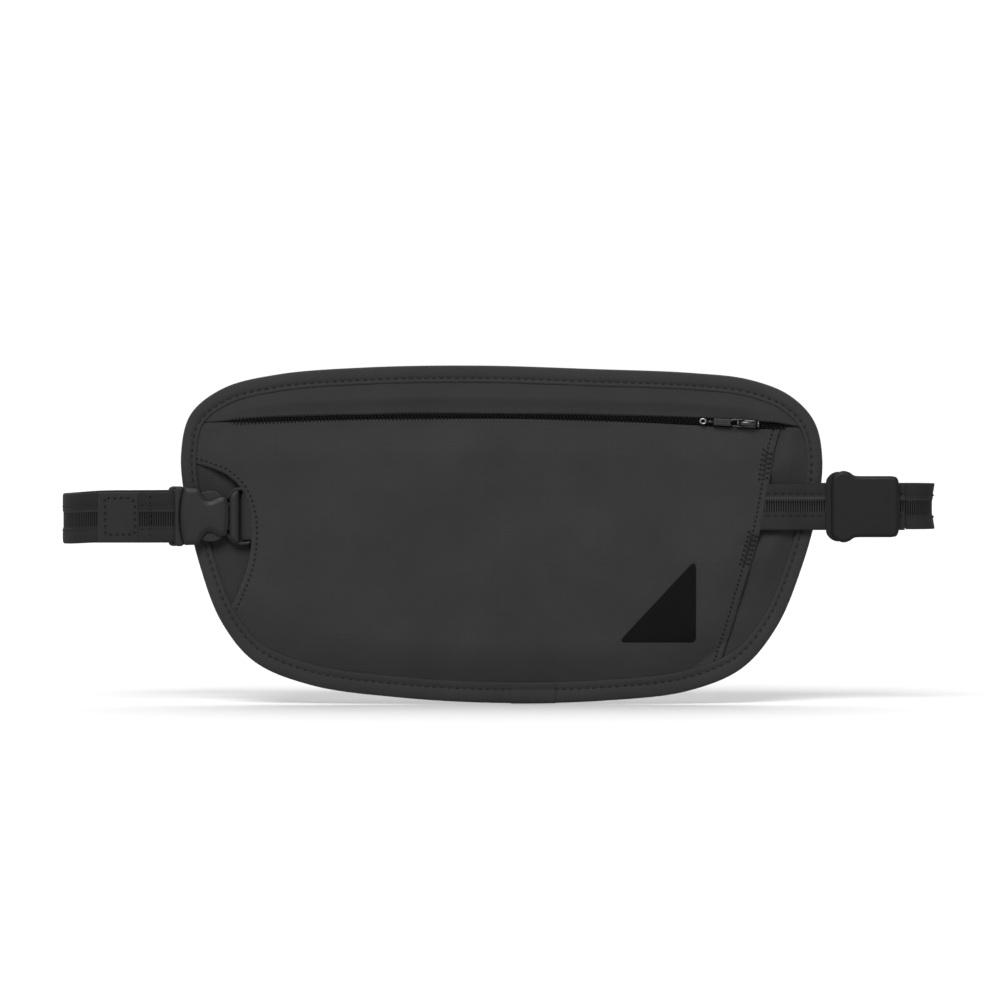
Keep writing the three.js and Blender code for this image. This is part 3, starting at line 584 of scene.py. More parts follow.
def cloth_material(name, base, ripstop=None, weave=0.42, roughness=0.82, sheen=0.05, relief=0.05,
                   specular=0.12):
    """Woven nylon: a fine over-and-under weave, an optional ripstop grid, and slow changes of tone."""
    s = Shader(name, roughness, specular=specular, sheen=sheen)
    vector, x, _, z = s.place()
    woven = s.times(s.wave(x, weave), s.wave(z, weave))
    slow = s.noise(vector, 0.035, 3)
    fine = s.noise(vector, 1.6, 4, 0.7)
    tone = s.plus(s.times(slow, 0.5), s.times(fine, 0.32))
    tone = s.plus(tone, s.times(woven, 0.18))
    height = s.plus(woven, s.times(fine, 0.7))
    if ripstop:
        grid = s.math("MAXIMUM", *(s.power(s.wave(value, ripstop), 10.0) for value in (x, z)))
        patchy = s.times(grid, s.times(s.noise(vector, 0.08, 2), 1.3))
        tone = s.plus(tone, s.times(patchy, 0.22))
        height = s.plus(height, s.times(grid, 1.2))
    s.shade(tone, (0.2, base * 0.74), (0.5, base), (0.95, base * 1.5))
    s.roughness(s.plus(s.times(fine, 0.16), roughness - 0.1))
    s.bump(height, relief)
    return s.material


def webbing_material(name, base, channel, ridge, contrast):
    """The strap's face: plain-woven hems and a ribbed channel between two heights, from its cloth map."""
    s = Shader(name, 0.85, specular=0.08)
    vector, along, across, _ = s.place(uv=True)
    low, high = channel
    inside = s.times(s.math("GREATER_THAN", across, low), s.math("LESS_THAN", across, high))
    raised = s.times(s.math("GREATER_THAN", across, high), s.math("LESS_THAN", across, ridge))
    rib = s.power(s.wave(along, 1.06), 1.5)
    weave = s.times(s.wave(along, 0.45), s.wave(across, 0.45))
    fine = s.noise(vector, 1.4, 4, 0.7)
    slow = s.noise(vector, 0.05, 2)
    plain = s.minus(1.0, inside)
    ribs = s.times(rib, s.plus(inside, s.times(raised, 0.35)))
    tone = s.plus(s.times(slow, 0.3), s.times(fine, 0.3))
    tone = s.plus(tone, s.times(s.times(weave, plain), 0.16))
    # Painted light and shade: the raised ridge and the rib crests are lightened, and the recessed channel is
    # darkened.
    tone = s.plus(tone, s.times(raised, 0.12))
    tone = s.plus(tone, s.times(ribs, contrast))
    tone = s.minus(tone, s.times(inside, contrast * 0.6))
    s.shade(tone, (0.0, base * 0.12), (0.36, base), (0.9, base * 2.3))
    s.roughness(s.plus(s.times(fine, 0.2), 0.68))
    height = s.plus(s.times(ribs, 2.6), s.times(weave, plain))
    s.bump(s.plus(height, s.times(fine, 0.6)), 0.09)
    return s.material


def thread_material(name, base):
    """Twisted sewing thread."""
    s = Shader(name, 0.75, specular=0.12)
    vector, x, _, z = s.place()
    twist = s.wave(s.plus(x, z), 0.35)
    tone = s.plus(s.times(twist, 0.6), s.times(s.noise(vector, 2.0), 0.4))
    s.shade(tone, (0.1, base * 0.6), (0.9, base * 1.5))
    s.bump(twist, 0.04)
    return s.material


def plastic_material(name, base, roughness=0.5, grain=0.9, relief=0.012, specular=0.16):
    """Moulded acetal: satin, with a fine spark-eroded grain, faint flow marks and worn spots."""
    s = Shader(name, roughness, specular=specular)
    vector, *_ = s.place()
    fine = s.noise(vector, grain * 3, 5, 0.65)
    slow = s.noise(vector, 0.12, 3)
    scuff = s.power(s.noise(vector, 0.6, 6, 0.75), 4.0)
    tone = s.plus(s.times(slow, 0.6), s.times(fine, 0.4))
    s.shade(tone, (0.25, base * 0.85), (0.55, base), (0.85, base * 1.18))
    s.roughness(s.plus(s.times(s.plus(slow, scuff), 0.22), roughness - 0.1))
    s.bump(fine, relief)
    return s.material


def metal_material(name, base):
    """Dark plated metal with fine scratches."""
    s = Shader(name, 0.22, metallic=1.0)
    vector, *_ = s.place()
    scratch = s.noise(vector, 1.8, 6, 0.7)
    slow = s.noise(vector, 0.4, 2)
    s.shade(slow, (0.3, base * 0.75), (0.7, base * 1.25))
    s.roughness(s.plus(s.times(scratch, 0.22), 0.22 - 0.06))
    s.bump(scratch, 0.01)
    return s.material


def mesh_material(name, base):
    """The soft back: a warp-knitted mesh with rows of small open cells."""
    s = Shader(name, 0.95, specular=0.1, sheen=0.1)
    vector, x, _, z = s.place()
    pitch = 2.1
    row = s.math("FLOOR", s.math("DIVIDE", z, pitch))
    shift = s.times(s.math("MODULO", row, 2.0), pitch / 2)
    cell_x = s.minus(s.math("FRACT", s.math("DIVIDE", s.plus(x, shift), pitch)), 0.5)
    cell_z = s.minus(s.math("FRACT", s.math("DIVIDE", z, pitch)), 0.5)
    reach = s.plus(*(s.power(s.math("ABSOLUTE", cell), 2.0) for cell in (cell_x, cell_z)))
    hole = s.math("MAXIMUM", s.minus(1.0, s.times(reach, 9.0)), 0.0)
    fine = s.noise(vector, 2.2, 4, 0.7)
    # The open cells are darkened: painted shade in them.
    tone = s.minus(s.plus(s.times(fine, 0.5), 0.35), s.times(hole, 0.55))
    s.shade(tone, (0.0, base * 0.25), (0.45, base), (0.9, base * 1.7))
    s.bump(s.minus(s.times(fine, 0.5), hole), 0.18)
    return s.material


CHARCOAL, BLACK = 0.0155, 0.0012
RIPSTOP_PITCH = 1.48
MATERIALS = {
    "ripstop": cloth_material("ripstop_cloth", CHARCOAL, ripstop=RIPSTOP_PITCH),
    "plain": cloth_material("plain_cloth", CHARCOAL * 0.93),
    "inner": cloth_material("garage_cloth", CHARCOAL * 0.85, ripstop=RIPSTOP_PITCH),
    "binding": cloth_material("binding_cloth", CHARCOAL),
    "backing": mesh_material("back_mesh", 0.02),
    "liner": cloth_material("liner_cloth", 0.17, weave=0.8, roughness=0.5),
    "webbing": webbing_material("webbing", CHARCOAL * 0.72, (-3.9, 2.6), 3.4, 0.7),
    "lead": webbing_material("lead_webbing", CHARCOAL * 0.84, (-2.2, 2.75), 4.5, 1.3),
    "loop_face": cloth_material("tab_webbing", CHARCOAL * 0.72, weave=0.6, relief=0.09),
    "loop": cloth_material("loop_webbing", CHARCOAL * 0.8, weave=0.7, relief=0.1),
    "thread": thread_material("thread", CHARCOAL * 0.7),
    # Near-black blobs in the needle holes: painted shade.
    "hole": thread_material("needle_hole_shade", BLACK),
    "tape": cloth_material("zip_tape", 0.0016, weave=0.6, sheen=0.0),
    "coil": plastic_material("zip_coil", BLACK, roughness=0.4, specular=0.1),
    "label": cloth_material("label_cloth", 0.0016, weave=0.3, roughness=0.75, sheen=0.0, relief=0.02,
                            specular=0.06),
    "cover": plastic_material("cover_plastic", 0.0042, specular=0.12),
    "plastic": plastic_material("buckle_plastic", 0.0068),
    "metal": metal_material("slider_metal", 0.035),
    # Lighter metal for the slider's end bars and the pull's eye: it paints highlights on them.
    "painted_highlight": metal_material("painted_highlight_metal", 0.16),
    "grip": plastic_material("grip_plastic", 0.017),
}


# ---------------------------------------------------------------- the pouch's cloth


def front_depth(points):
    """The front cloth's depth: tucked under the binding, crowned like a thin pillow, low along the zip."""
    distance, width = nearest_edge(points)
    x, z = points[:, 0], points[:, 1]
    crown = 3.0 + 6.2 * np.sin(np.clip((distance - width + 1.0) / 21, 0, 1) * math.pi / 2)
    below = zip_z(x) - z
    limit = 5.1 + 4.2 * smoothstep((np.abs(below) - 2) / 17)
    depth = -np.log(np.exp(-crown * 2.2) + np.exp(-limit * 2.2)) / 2.2
    soft = rumple(points, 34, 0.55) + rumple(points, 13, 0.16, 3.0)
    return depth + soft * smoothstep((distance - width) / 14)


def lip_drop(edge, reach, drop):
    """How far a cloth's folded edge curls back, from each point's distance to that edge."""
    turn = np.clip(1 - edge / reach, 0, 0.9995)
    return drop * (1 - np.sqrt(1 - turn ** 2))


def to_grid(flat, depth):
    return np.stack([flat[..., 0], -depth.reshape(flat.shape[:2]), flat[..., 1]], axis=2)


def at_depth(flat, depth):
    """[x, z] points set in space, at one depth or at one depth for each."""
    return np.column_stack([flat[:, 0], -np.broadcast_to(depth, len(flat)), flat[:, 1]])


def facing(line, out=-1.0):
    """The same normal for every point of a line: towards the front of the belt, or back with out=1."""
    return np.tile((0.0, out, 0.0), (len(line), 1))


def distance_to(points, line):
    """Each point's distance to the nearest point of a line."""
    found = []
    for part in np.array_split(points, max(1, len(points) // 2000)):
        found.append(np.linalg.norm(part[:, None, :] - line[None, :, :], axis=2).min(axis=1))
    return np.concatenate(found)


SEAM_LINE = resample(smooth_line(SEAM), 260)
GARAGE_LINE = resample(smooth_line(GARAGE), 220)
UNDER = 4.6  # how far inside the outline the panels' hidden edges lie
CLOTH, THIN_CLOTH = 0.7, 0.6  # the thickness of the outer and of the inner panels


def seam_dip(points):
    """Beside its seam the front cloth is drawn down, except over the strap, which holds it up."""
    near = distance_to(points, SEAM_LINE)
    over_strap = smoothstep((points[:, 1] + 6) / 8) * smoothstep((31 - points[:, 1]) / 8)
    pull = 2.6 * (1 - over_strap) + 0.5 * over_strap
    return pull * (1 - smoothstep(near / 17)) ** 1.5


def front_surface(points):
    depth = front_depth(points)
    free = distance_to(points, GARAGE_LINE)
    tucks = 0.35 * np.exp(-free / 5) * np.sin(points[:, 1] * 0.55 + points[:, 0] * 0.2)
    return np.maximum(depth - seam_dip(points), np.minimum(depth, 3.4)) + tucks * 0.5


def add_cloth(name, flat, depth, thickness, material, slot, node):
    """A panel of the pouch's cloth, its edges sewn under the binding."""
    panel = shell(name, to_grid(flat, depth), thickness, MATERIALS[material])
    finish_piece(panel, "pouch", slot, node)


def add_front_panel():
    seam_top, seam_foot = SEAM_LINE[0], SEAM_LINE[-1]
    garage_top, garage_foot = GARAGE_LINE[0], GARAGE_LINE[-1]
    xs = np.linspace(-137.0, seam_top[0], 300)
    top = np.column_stack([xs, zip_z(xs) - slit_half(xs)])
    left_rim = outline_between(garage_top, top[0], UNDER)
    left = np.vstack([GARAGE_LINE[::-1], left_rim[1:-1], top[0]])
    bottom = outline_between(seam_foot, garage_foot, UNDER)[::-1]
    bottom = np.vstack([garage_foot, bottom[1:-1], seam_foot])
    flat = coons(bottom, top, left, SEAM_LINE[::-1], 300, 150)
    points = flat.reshape(-1, 2)
    depth = front_surface(points)
    edges = [zip_z(points[:, 0]) - slit_half(points[:, 0]) - points[:, 1], distance_to(points, SEAM_LINE),
             distance_to(points, GARAGE_LINE)]
    for edge, reach, drop in zip(edges, (0.9, 1.0, 1.1), (0.8, 0.9, 1.0)):
        depth = depth - lip_drop(np.abs(edge), reach, drop)
    add_cloth("front_cloth", flat, depth, CLOTH, "ripstop", "ripstop", "front_panel")


def add_yoke():
    xs = np.linspace(-137.0, 136.0, 300)
    bottom = np.column_stack([xs, zip_z(xs) + slit_half(xs)])
    top = outline_between((-134.5, 52), (134.0, 50), UNDER)
    flat = coons(bottom, top, [bottom[0], top[0]], [bottom[-1], top[-1]], 300, 34)
    points = flat.reshape(-1, 2)
    depth = front_depth(points)
    edge = np.abs(points[:, 1] - zip_z(points[:, 0]) - slit_half(points[:, 0]))
    depth = depth - lip_drop(edge, 0.9, 0.8)
    add_cloth("yoke_cloth", flat, depth, CLOTH, "plain", "plain_cloth", "top_yoke")


def wing_depth(points):
    """The depth of the cloths at both ends of the pouch, beside and behind the front panel."""
    distance, width = nearest_edge(points)
    return 2.5 + 1.0 * smoothstep((distance - width) / 9)


def add_side_panel():
    """The cloth to the right of the seam. It puffs up above and below the strap that crosses it."""
    behind = SEAM_LINE[::-1] + np.array([-7.5, 0])
    xs = np.linspace(behind[-1][0], 136.0, 60)
    top = np.column_stack([xs, zip_z(xs) - slit_half(xs) - 0.05])
    rim = outline_between(top[-1], (100, -66), UNDER)[::-1]
    right = np.vstack([rim[:-1], top[-1]])
    left = np.vstack([behind[1:-1], top[0]])
    bottom = np.array([left[0], right[0]])
    flat = coons(bottom, top, left, right, 60, 130)
    points = flat.reshape(-1, 2)
    x, z = points[:, 0], points[:, 1]
    distance, width = nearest_edge(points)
    puff = 2.7 * np.exp(-((z - 33) / 7.5) ** 2) + 2.1 * np.exp(-((z + 9) / 9) ** 2)
    puff = puff * smoothstep((distance - width - 0.5) / 9)
    depth = wing_depth(points) + puff + rumple(points, 11, 0.5, 7.0) * smoothstep((distance - width) / 6)
    below = zip_z(x) - slit_half(x) - z
    beyond = smoothstep((x - SEAM_LINE[0][0] + 3) / 6)
    depth = depth + 1.5 * beyond * (1 - smoothstep(below / 10)) * smoothstep((distance - width) / 5)
    depth = depth - lip_drop(np.abs(below), 0.9, 0.8)
    beside = x - np.interp(-z, -SEAM_LINE[:, 1], SEAM_LINE[:, 0])
    edge = np.column_stack([x - beside, z])
    under = np.maximum(1.9, front_surface(edge) - 1.5 + 0.5 * np.maximum(0, beside))
    depth = np.minimum(depth, under)
    add_cloth("side_cloth", flat, depth, THIN_CLOTH, "plain", "plain_cloth", "side_panel")


def add_garage_panel():
    """The cloth behind the buckle, seen through the front panel's cut-out."""
    inner = GARAGE_LINE + np.array([9.0, 0])
    rim = outline_between((-124, -42), (-139, 37), UNDER)
    right = np.vstack([(-112, -44), inner[::-1][1:-1], (-124, 38)])
    flat = coons(np.array([rim[0], right[0]]), np.array([rim[-1], right[-1]]), rim, right, 40, 90)
    points = flat.reshape(-1, 2)
    depth = wing_depth(points) + rumple(points, 12, 0.5, 11.0)
    add_cloth("garage_cloth", flat, depth, THIN_CLOTH, "inner", "plain_cloth", "garage_panel")


def disc(name, rim, depth_at, thickness, material):
    """A panel that fills a rim, drawn as rings about its middle."""
    shares = np.linspace(0.015, 1, 60)
    centre = np.array([0.0, 0.5])
    flat = centre + (rim[None] - centre) * shares[:, None, None]
    rows, columns = flat.shape[:2]
    depth = depth_at(flat.reshape(-1, 2)).reshape(rows, columns)
    outer = np.stack([flat[..., 0], -depth, flat[..., 1]], axis=2)
    inner = outer - np.array([0, thickness, 0])
    count = rows * columns
    faces = grid_faces(rows, columns, wrap_columns=True)
    faces += [tuple(count + v for v in reversed(f)) for f in faces]
    edge = list(range(count - columns, count))
    faces += [(a, b, count + b, count + a) for a, b in zip(edge, edge[1:] + edge[:1])]
    faces += [tuple(range(columns)), tuple(range(count, count + columns))[::-1]]
    panel = piece(name, np.vstack([outer.reshape(-1, 3), inner.reshape(-1, 3)]), faces, material)
    fix_normals(panel)
    return panel


def back_depth(points):
    distance, width = nearest_edge(points)
    tucked = 1.15 * (1 - smoothstep((distance - width + 2) / 7))
    return 0.05 + tucked + 0.12 * (1 + rumple(points, 16, 1, 5.0))


def add_back_panel():
    """The soft back: flat where it lies on the wearer, tucked under the binding round its rim."""
    panel = disc("back_cloth", inset(BINDING_WIDTH - 1.8)[::4], back_depth, CLOTH, MATERIALS["backing"])
    finish_piece(panel, "pouch", "backing", "back_panel")


def add_liner():
    """The shielding foil inside, between the back and the front."""
    rim = inset(np.full(len(OUTLINE), 10.4))[::4]
    liner = disc("liner_foil", rim, lambda points: 1.22 + 0.1 * (1 + rumple(points, 7, 1, 3.0)), 0.12,
                 MATERIALS["liner"])
    finish_piece(liner, "pouch", "liner", "shielding_liner")


def binding_section(width, sewn):
    """The tape folded over the pouch's edge: its outer face, and its inner face round the panels' edges."""
    outer = binding_profile(width, sewn)
    turn = next(i for i, (_, depth) in enumerate(outer) if i and depth < 1.5)
    inner = [(4.0, 3.15), (1.4, 3.1), (0.8, 2.6), (0.75, 1.7), (1.3, 1.2), (4.0, 1.15)]
    return outer[:turn] + inner + outer[turn:]


def binding_profile(width, sewn):
    """The folded tape's section as (inwards, depth): a soft roll, a groove where it is sewn, and a lip."""
    groove = width - sewn
    front = [(0.0, 2.0), (0.15, 2.75), (0.6, 3.35), (1.5, 3.85), (2.9, 4.15), (groove - 1.2, 4.1),
             (groove - 0.45, 3.8), (groove, 3.5), (groove + 0.45, 3.8), (width - 0.9, 4.05),
             (width - 0.35, 4.0), (width, 3.7), (width - 0.05, 3.3), (width - 0.7, 3.15)]
    back = [(width - 0.7, 1.2), (width - 0.05, 1.0), (width, 0.6), (width - 0.35, 0.25), (width - 0.9, 0.2),
            (groove + 0.45, 0.4), (groove, 0.6), (groove - 0.45, 0.4), (groove - 1.2, 0.15), (2.9, 0.12),
            (1.5, 0.3), (0.6, 0.75), (0.15, 1.35)]
    return front + back


def add_binding():
    count = len(OUTLINE)
    along = distances_along(OUTLINE)
    pucker = 0.09 * np.cos(along * 2 * math.pi / 3.4)
    loose = rumple(OUTLINE, 9, 0.22, 2.0)
    rings = []
    for i in range(count):
        profile = np.array(binding_section(BINDING_WIDTH[i], STITCH_IN[i]))
        middle = np.exp(-((profile[:, 0] - BINDING_WIDTH[i] + STITCH_IN[i]) / 1.6) ** 2)
        lift = np.where(profile[:, 1] > 2, 1.0, -0.4)
        ripple = pucker[i] * middle + loose[i] * (1 - middle) * np.minimum(profile[:, 0], 1)
        depth = profile[:, 1] + lift * ripple
        place = OUTLINE[i] + OUTLINE_IN[i] * profile[:, 0][:, None]
        rings.append(at_depth(place, depth))
    binding = sweep("binding_tape", rings, MATERIALS["binding"], closed=True)
    finish_piece(binding, "pouch", "binding", "edge_binding")

    for name, depth, out in (("front", 3.62, -1.0), ("back", 0.42, 1.0)):
        line = at_depth(inset(BINDING_WIDTH - STITCH_IN), depth)
        line = np.vstack([line, line[:1]])
        sew(f"binding_{name}", line, facing(line, out), "pouch", 3.4, radius=0.32, share=0.44)
    add_binding_overlap()


def add_binding_overlap():
    """Where the tape's two ends meet at the bottom, one end lies over the other."""
    ring = np.arange(len(OUTLINE))
    keep = ring[(OUTLINE[:, 1] < 0) & (OUTLINE[:, 0] > 3.4) & (OUTLINE[:, 0] < 24)]
    rings = []
    for i in keep:
        profile = np.array(binding_profile(BINDING_WIDTH[i], STITCH_IN[i]))[1:-1]
        lift = np.where(profile[:, 1] > 2, 0.32, -0.12)
        grown = np.column_stack([profile[:, 0] - 0.28 * (profile[:, 0] < 1.6), profile[:, 1] + lift])
        inner = profile[::-1] + np.column_stack([0.25 * (profile[::-1, 0] < 1.6), -0.2 * np.sign(lift[::-1])])
        loop = np.vstack([grown, inner])
        place = OUTLINE[i] + OUTLINE_IN[i] * loop[:, 0][:, None]
        rings.append(at_depth(place, loop[:, 1]))
    overlap = sweep("binding_overlap", rings, MATERIALS["binding"])
    finish_piece(overlap, "pouch", "binding")


def add_panel_stitches():
    """Rows of topstitching beside the front panel's cut-out and its seam."""
    garage = GARAGE_LINE - normals_2d(GARAGE_LINE) * 2.2
    seam = SEAM_LINE + normals_2d(SEAM_LINE) * 3.1
    for name, line, pitch in (("garage", garage, 2.4), ("seam", seam, 2.1)):
        points = at_depth(line, front_surface(line) + 0.02)
        sew(name, points, facing(points), "pouch", pitch, radius=0.3, share=0.5)


def add_bartack(name, node, start, end):
    """A block of zigzag stitching along the seam, between two heights, with near-black blobs of painted shade
    for the needle holes at its turns.
    """
    keep = (SEAM_LINE[:, 1] <= start) & (SEAM_LINE[:, 1] >= end)
    lane = SEAM_LINE[keep] + normals_2d(SEAM_LINE)[keep] * 3.0
    turns = int(length_of(lane) / 0.95)
    middle = resample(lane, turns)
    side = np.where(np.arange(turns) % 2 == 0, 1.75, -1.75)
    zigzag = middle + normals_2d(middle) * side[:, None]
    fine = resample(zigzag, turns * 10)
    tack = tube(name, at_depth(fine, front_surface(fine) + 0.12), 0.26, MATERIALS["thread"], sides=6)
    finish_piece(tack, "pouch", "thread", node)
    points, faces = [], []
    for (x, z), d in zip(zigzag, front_surface(zigzag)):
        ball, ball_faces = ellipsoid((x, -d - 0.02, z), (0.58, 0.3, 0.58))
        faces += [tuple(len(points) + v for v in face) for face in ball_faces]
        points += ball
    holes = piece(f"{name}_holes", points, faces, MATERIALS["hole"])
    finish_piece(holes, "pouch", "thread")


def ellipsoid(centre, radii, rows=5, columns=8):
    """Points and faces of a small closed egg shape."""
    points = []
    for up in np.linspace(-1.25, 1.25, rows):
        for around in np.linspace(0, 2 * math.pi, columns, endpoint=False):
            points.append((centre[0] + radii[0] * math.cos(up) * math.cos(around),
                           centre[1] + radii[1] * math.sin(up),
                           centre[2] + radii[2] * math.cos(up) * math.sin(around)))
    return points, grid_faces(rows, columns, wrap_columns=True) + end_caps(rows, columns)


def add_label():
    """A plain triangular label with rounded corners, bonded flat on the front panel."""
    corners = [(51.9, -47.7), (86.3, -47.7), (86.3, -10.8)]
    outline = rounded(corners, (1.5, 2.4, 1.7), 10)
    centre = (75.5, -37)
    depth = float(front_surface(np.array([centre]))[0])
    profile = [(0.0, depth + 0.3), (0.12, depth + 0.43), (0.35, depth + 0.5), (30, depth + 0.5)]
    label = moulded("label", outline, centre, depth - 0.2, profile, MATERIALS["label"])
    follow_cloth(label, depth)
    finish_piece(label, "pouch", "label", "label_patch")


def follow_cloth(obj, level):
    """Bends a flat piece made at one depth so that it lies on the front cloth."""
    co = np.zeros(len(obj.data.vertices) * 3)
    obj.data.vertices.foreach_get("co", co)
    co = co.reshape(-1, 3)
    flat = np.column_stack([co[:, 0], co[:, 2]]) / MM
    co[:, 1] -= (front_surface(flat) - level) * MM
    obj.data.vertices.foreach_set("co", co.ravel())


def rounded(corners, radius, steps):
    """A polygon with its corners rounded, by one radius or by one for each corner."""
    corners = np.array(corners, float)
    radii = np.broadcast_to(radius, len(corners))
    found = []
    for i, corner in enumerate(corners):
        before = corners[i - 1] - corner
        after = corners[(i + 1) % len(corners)] - corner
        a, b = before / np.linalg.norm(before), after / np.linalg.norm(after)
        half = math.acos(np.clip(a @ b, -1, 1)) / 2
        reach = min(radii[i] / math.tan(half), 0.45 * min(np.linalg.norm(before), np.linalg.norm(after)))
        start, end = corner + a * reach, corner + b * reach
        for t in np.linspace(0, 1, steps + 1):
            found.append((1 - t) ** 2 * start + 2 * t * (1 - t) * corner + t ** 2 * end)
    return densify(np.array(found), 1.2)


def rectangle(left, right, half, radius, steps):
    """A rounded rectangle, as high above z = 0 as below."""
    return rounded([(left, -half), (right, -half), (right, half), (left, half)], radius, steps)


def densify(loop, spacing):
    """A closed loop with extra points on its long straight sides."""
    found = []
    for a, b in zip(loop, np.roll(loop, -1, axis=0)):
        steps = max(1, int(np.linalg.norm(b - a) / spacing))
        found += [a + (b - a) * k / steps for k in range(steps)]
    return np.array(found)


# ---------------------------------------------------------------- the zip


def chain_depth(x):
    """The zip's coils run level, and go down under the cloth at both ends."""
    return 4.75 - 1.9 * smoothstep((x - 111) / 8) - 1.6 * smoothstep((-116 - x) / 12)


def add_zip():
    for name, side in (("upper", 1), ("lower", -1)):
        xs = np.linspace(-124, 126, 230)
        wide = 4.2 * smoothstep((124 - np.abs(xs)) / 14)
        near, far = zip_z(xs) + side * 0.35, zip_z(xs) + side * (1.6 + wide)
        grid = np.stack([np.column_stack([xs, 1.25 - chain_depth(xs), z]) for z in (near, far)])
        tape = shell(f"zip_tape_cloth_{name}", grid, 0.35, MATERIALS["tape"])
        finish_piece(tape, "pouch", "zip_tape", f"zip_tape_{name}")

        pitch = 1.6
        turns = int(255 / pitch)
        t = np.linspace(0, turns * 2 * math.pi, turns * 14) + (0 if side > 0 else math.pi)
        x = np.linspace(-126.5, 129.5, len(t))
        z = zip_z(x) + side * (0.7 + 0.95 * np.cos(t))
        depth = chain_depth(x) + 0.5 * np.sin(t)
        line = np.column_stack([x, -depth, z])
        coil = tube(f"zip_coil_teeth_{name}", line, 0.27, MATERIALS["coil"], sides=6)
        finish_piece(coil, "pouch", "zip_coil", f"zip_coil_{name}")
    for name, node in (("closed", "zip_stop_closed"), ("open", "zip_stop_open")):
        low, high = node_box(node)
        x, z = (low[0] + high[0]) / 2, (low[2] + high[2]) / 2
        level = float(chain_depth(x))
        line = [(x, -level, z - 0.9), (x, -level - 0.15, z), (x, -level, z + 0.9)]
        stop = tube(f"zip_bar_{name}", line, 0.4, MATERIALS["coil"])
        finish_piece(stop, "pouch", "dark_metal", node)


def slider_place(obj):
    """Sets a piece drawn about the slider's centre on the zip's arc, turned to follow it."""
    angle = math.asin((SLIDER_X - ZIP_ARC["x"]) / ZIP_ARC["radius"])
    obj.rotation_euler = (0, angle, 0)
    obj.location = (SLIDER_X * MM, 0, float(zip_z(SLIDER_X)) * MM)
    bpy.context.view_layer.update()
    obj.data.transform(obj.matrix_world)
    obj.matrix_world.identity()
    obj.rotation_euler, obj.location = (0, 0, 0), (0, 0, 0)
    bpy.context.view_layer.update()
    return obj


def on_slider(obj, body, slot, *nodes):
    """Finishes a piece drawn about the slider's centre."""
    return finish_piece(slider_place(obj), body, slot, *nodes)


def add_slider():
    half, wide = 4.8, 1.95
    corners = [(-half, -wide + 0.4), (-half + 1.0, -wide), (half - 1.6, -wide), (half, -wide + 1.0),
               (half, wide - 1.0), (half - 1.6, wide), (-half + 1.0, wide), (-half, wide - 0.4)]
    outline = rounded(corners, 0.8, 5)
    profile = [(0.0, 6.0), (0.12, 6.35), (0.4, 6.6), (0.9, 6.7), (3.0, 6.75)]
    body = moulded("slider_body", outline, (0, 0), 5.8, profile, MATERIALS["metal"], spread=18)
    on_slider(body, "slider", "dark_metal", "zip_slider")
    core = plate("slider_core", [(1.4, -0.3), (4.4, -0.3), (4.4, 0.3), (1.4, 0.3)], (3.0, 6.1),
                 MATERIALS["metal"], bevel=0.1)
    on_slider(core, "slider", "dark_metal")

    arch = [(-3.3, 6.5), (-3.4, 7.5), (-3.0, 8.2), (-2.0, 8.6), (0, 8.75), (1.8, 8.5), (2.9, 7.9), (3.7, 7.1),
            (4.0, 6.5)]
    line = resample(smooth_line(arch), 60)
    step = np.gradient(line, axis=0)
    step /= np.linalg.norm(step, axis=1)[:, None]
    rings = []
    for (x, depth), (dx, dd) in zip(line, step):
        turn = np.linspace(0, 2 * math.pi, 20, endpoint=False)
        across, out = 1.0 * np.cos(turn), 0.42 * np.sin(turn)
        rings.append(np.column_stack([x - dd * out, -(depth + dx * out), across]))
    bridge = sweep("slider_bridge", rings, MATERIALS["metal"])
    on_slider(bridge, "slider", "dark_metal")
    # The nose and tail bars use the lighter metal, a painted highlight.
    for label, x in (("nose", -4.35), ("tail", 4.75)):
        bar = tube(f"slider_{label}", [(x, -6.5, -1.5), (x, -6.62, 0), (x, -6.5, 1.5)], 0.36,
                   MATERIALS["painted_highlight"], sides=10)
        on_slider(bar, "slider", "dark_metal")
    add_pull()


